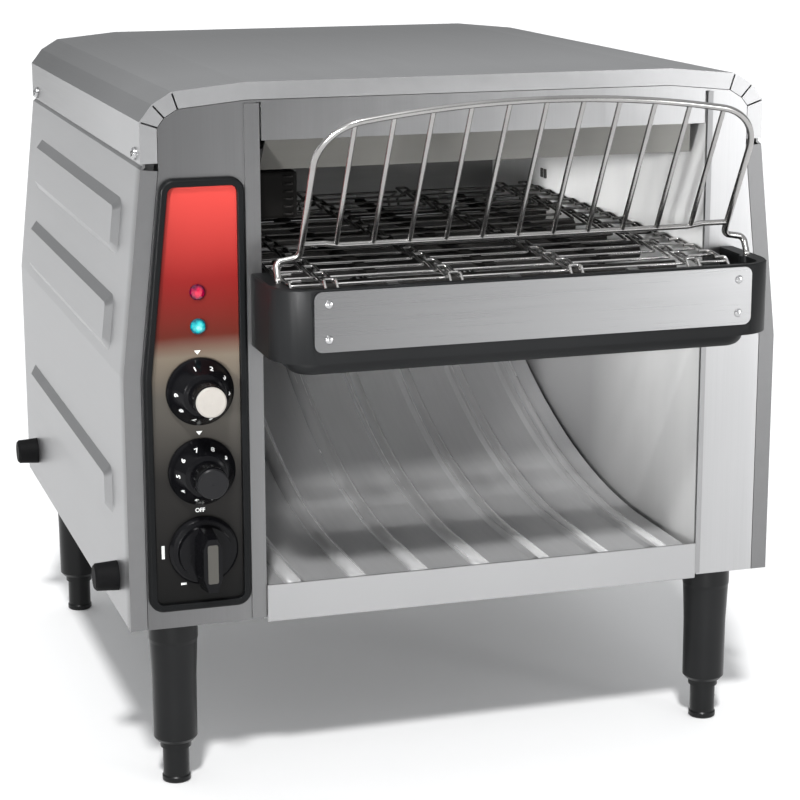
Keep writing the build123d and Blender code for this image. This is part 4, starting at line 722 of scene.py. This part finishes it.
knob_plastic = Finish("knob_plastic")
smear = knob_plastic.noise(knob_plastic.place(), 45.0, 3.0)
knob_plastic.shade(
    Base_Color=knob_plastic.blend(smear, (0.002, 0.002, 0.0025), (0.005, 0.005, 0.006)),
    Specular_IOR_Level=0.15,
    Roughness=0.12 + smear * 0.08,
)
dress(knob_plastic.material, "speed_knob", "power_knob", "function_knob")
soften(0.0006, 3, "speed_knob", "power_knob")
soften(0.0009, 3, "function_knob", angle=15.0)


def plain_plastic(name, tone, rough, shine=0.5):
    """Moulded plastic of one colour, faintly mottled."""
    finish = Finish(name)
    mottle = finish.noise(finish.place(), 300.0, 3.0)
    dark = tuple(part * 0.88 for part in tone)
    finish.shade(
        Base_Color=finish.blend(mottle, dark, tone),
        Specular_IOR_Level=shine,
        Roughness=rough + mottle * 0.08,
        Normal=finish.bump(mottle, 0.00004, 0.3),
    )
    return finish.material


dress(plain_plastic("cream_cap", (0.33, 0.31, 0.285), 0.4), "speed_knob_cap")
dress(plain_plastic("dark_cap", (0.009, 0.009, 0.01), 0.3, 0.2), "power_knob_cap")
dress(plain_plastic("grey_inlay", (0.055, 0.052, 0.045), 0.36), "function_knob_inlay")
dress(plain_plastic("dark_phenolic", (0.05, 0.045, 0.04), 0.5), "speed_control", "power_control",
      "function_switch", "terminal_block", "fan_frame", "fan_impeller", "cord_gland")

# ---------------------------------------------------------------------------
# Figures and marks: white print on the dials' sloping skirts, which turns with
# them, and on the panel round the knobs, which stays.
white_print = plain_plastic("white_print", (0.86, 0.87, 0.86), 0.42)
print_lift = 0.00003


def figure(name, text, size, place, body):
    """One printed figure, drawn flat and then laid on its surface."""
    letters = bpy.data.curves.new(name, "FONT")
    letters.body, letters.size, letters.align_x, letters.align_y = text, size, "CENTER", "CENTER"
    letters.extrude, letters.offset = 0.00004, 0.00009
    flat = bpy.data.objects.new(name, letters)
    bpy.context.scene.collection.objects.link(flat)
    made = bpy.data.meshes.new_from_object(flat)
    bpy.data.objects.remove(flat)
    made.transform(place)
    made.materials.clear()
    made.materials.append(white_print)
    piece = bpy.data.objects.new(name, made)
    bpy.context.scene.collection.objects.link(piece)
    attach(piece, body)


upright = Matrix.Rotation(math.pi / 2, 4, "X")
figure_size, figure_radius, figure_step = 0.0042, 0.0140, 36.0
skirt_radius, skirt_edge = 0.017, 0.0032
skirt_slope = math.atan2(0.0098, 0.0057)
rise = (skirt_radius - figure_radius) * math.tan(skirt_slope)
for dial, first_angle, first_figure in (("speed", -16, 1), ("power", -17, 7)):
    dial_low, dial_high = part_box(f"{dial}_knob")
    spindle = ((dial_low.x + dial_high.x) / 2, dial_high.y - skirt_edge - rise - print_lift,
               (dial_low.z + dial_high.z) / 2)
    for value in range(1, 10):
        angle = math.radians(first_angle + figure_step * (value - first_figure))
        lay = (Matrix.Translation(spindle)
               @ Matrix.Rotation(angle, 4, "Y") @ Matrix.Translation((0, 0, figure_radius))
               @ Matrix.Rotation(-skirt_slope, 4, "X") @ upright)
        figure(f"{dial}_figure_{value}", str(value), figure_size, lay, f"{dial}_dial")

face_y = panel_low.y
arrow_radius, arrow_stretch = 0.0019, (1.05, 0.75, 1)
arrow_aside, arrow_above, arrow_lift = 0.0006, 0.0028, 0.00005


def arrow(name, x, z):
    """Index triangle above a dial, point down."""
    shape = bmesh.new()
    corners = bmesh.ops.create_circle(shape, cap_ends=True, segments=3, radius=arrow_radius)["verts"]
    bmesh.ops.rotate(shape, cent=(0, 0, 0), matrix=Matrix.Rotation(math.pi, 3, "Z"), verts=corners)
    bmesh.ops.scale(shape, vec=arrow_stretch, verts=corners)
    bmesh.ops.rotate(shape, cent=(0, 0, 0), matrix=Matrix.Rotation(math.pi / 2, 3, "X"), verts=corners)
    bmesh.ops.translate(shape, vec=(x, face_y - arrow_lift, z), verts=corners)
    finished(shape, name, white_print, "housing")


for dial in ("speed", "power"):
    dial_low, dial_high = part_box(f"{dial}_knob")
    arrow(f"{dial}_index", (dial_low.x + dial_high.x) / 2 - arrow_aside, dial_high.z + arrow_above)

selector_radius = 0.0185
off_size, off_aside, off_above = 0.0030, 0.001, 0.0215
side_mark = (-0.0222, -0.0036, -0.0206, 0.0036)
foot_mark = (-0.0122, -0.0188, -0.0092, -0.0176)
mark_thick = 0.0001
selector_low, selector_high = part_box("function_knob")
selector_x = (selector_low.x + selector_high.x) / 2
selector_z = selector_high.z - selector_radius
off_place = Matrix.Translation((selector_x - off_aside, face_y - print_lift, selector_z + off_above))
figure("off_mark", "OFF", off_size, off_place @ upright, "housing")
marks = bmesh.new()
for left, foot, right, top in (side_mark, foot_mark):
    bar_of(marks, (selector_x + left, face_y - mark_thick, selector_z + foot),
           (selector_x + right, face_y, selector_z + top))
finished(marks, "selector_marks", white_print, "housing")

# ---------------------------------------------------------------------------
# Lamps: small domed plastic lenses, clipped into the panel over their lamps,
# with prisms moulded into the back of the dome.
lens_radius = 0.0042
prisms_per_metre = 480.0


def lens(name, node, stops, glow):
    """Bright over the lamp and deep at the rim."""
    low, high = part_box(node)
    finish = Finish(name)
    centre = finish.node("Mapping", {}, {
        "Vector": finish.node("TexCoord", {}, {}, "Object"),
        "Location": (-(low.x + high.x) / 2, 0, -(low.z + high.z) / 2), "Scale": (1, 0, 1)})
    away = finish.node("VectorMath", {"operation": "LENGTH"}, {0: centre}, 1)
    prism = finish.node("TexVoronoi", {}, {"Vector": centre, "Scale": prisms_per_metre})
    tone = finish.node("ValToRGB", {"stops": stops}, {"Fac": away / lens_radius + (prism - 0.4) * 0.5})
    finish.shade(
        Base_Color=tone,
        Roughness=0.08 + prism * 0.06,
        Emission_Color=tone,
        Coat_Weight=0.6,
        Emission_Strength=glow,
    )
    dress(finish.material, node)


lens("red_lens", "power_lamp",
     [(0.0, (0.5, 0.008, 0.04)), (1.0, (0.05, 0.0, 0.015)), (0.5, (0.32, 0.0, 0.03)),
      (0.8, (0.1, 0.0, 0.02))], 0.15)
lens("cyan_lens", "ready_lamp",
     [(0.0, (0.2, 0.55, 0.5)), (1.0, (0.0, 0.06, 0.08)), (0.45, (0.02, 0.36, 0.36)),
      (0.8, (0.0, 0.17, 0.2))], 0.2)

# ---------------------------------------------------------------------------
# Drive: a gear motor in the left compartment turns the belt's rear shaft by an
# oiled steel chain over two sprockets.
oiled_steel = Finish("oiled_steel")
oil = oiled_steel.noise(oiled_steel.place(), 160.0, 4.0)
oiled_steel.shade(
    Base_Color=oiled_steel.blend(oil, (0.06, 0.055, 0.05), (0.22, 0.21, 0.2)),
    Metallic=1.0,
    Roughness=0.3 + oil * 0.25,
)
dress(oiled_steel.material, "drive_chain", "driven_sprocket", "motor_sprocket")

# ---------------------------------------------------------------------------
# Legs, feet and bumpers: black painted steel legs on screw feet, and black
# rubber bumpers low on both sides. The gear motor is painted as the legs are.
leg_paint = Finish("leg_paint")
orange_peel = leg_paint.noise(leg_paint.place(), 320.0, 2.0)
dust = leg_paint.noise(leg_paint.place(), 30.0, 3.0)
leg_paint.shade(
    Base_Color=leg_paint.blend(dust, (0.003, 0.0033, 0.0036), (0.008, 0.0085, 0.009)),
    Specular_IOR_Level=0.25,
    Roughness=0.26 + dust * 0.14,
    Normal=leg_paint.bump(orange_peel, 0.0001, 0.25),
)
dress(leg_paint.material, "legs", "front_left_foot", "front_right_foot", "rear_left_foot",
      "rear_right_foot", "gearmotor")

rubber = Finish("rubber")
grip = rubber.noise(rubber.place(), 700.0, 3.0)
rubber.shade(
    Base_Color=rubber.blend(grip, (0.003, 0.003, 0.0033), (0.007, 0.007, 0.0075)),
    Specular_IOR_Level=0.12,
    Roughness=0.6 + grip * 0.15,
    Normal=rubber.bump(grip, 0.00008, 0.4),
)
dress(rubber.material, "side_bumpers")
soften(0.0005, 2, "side_bumpers")
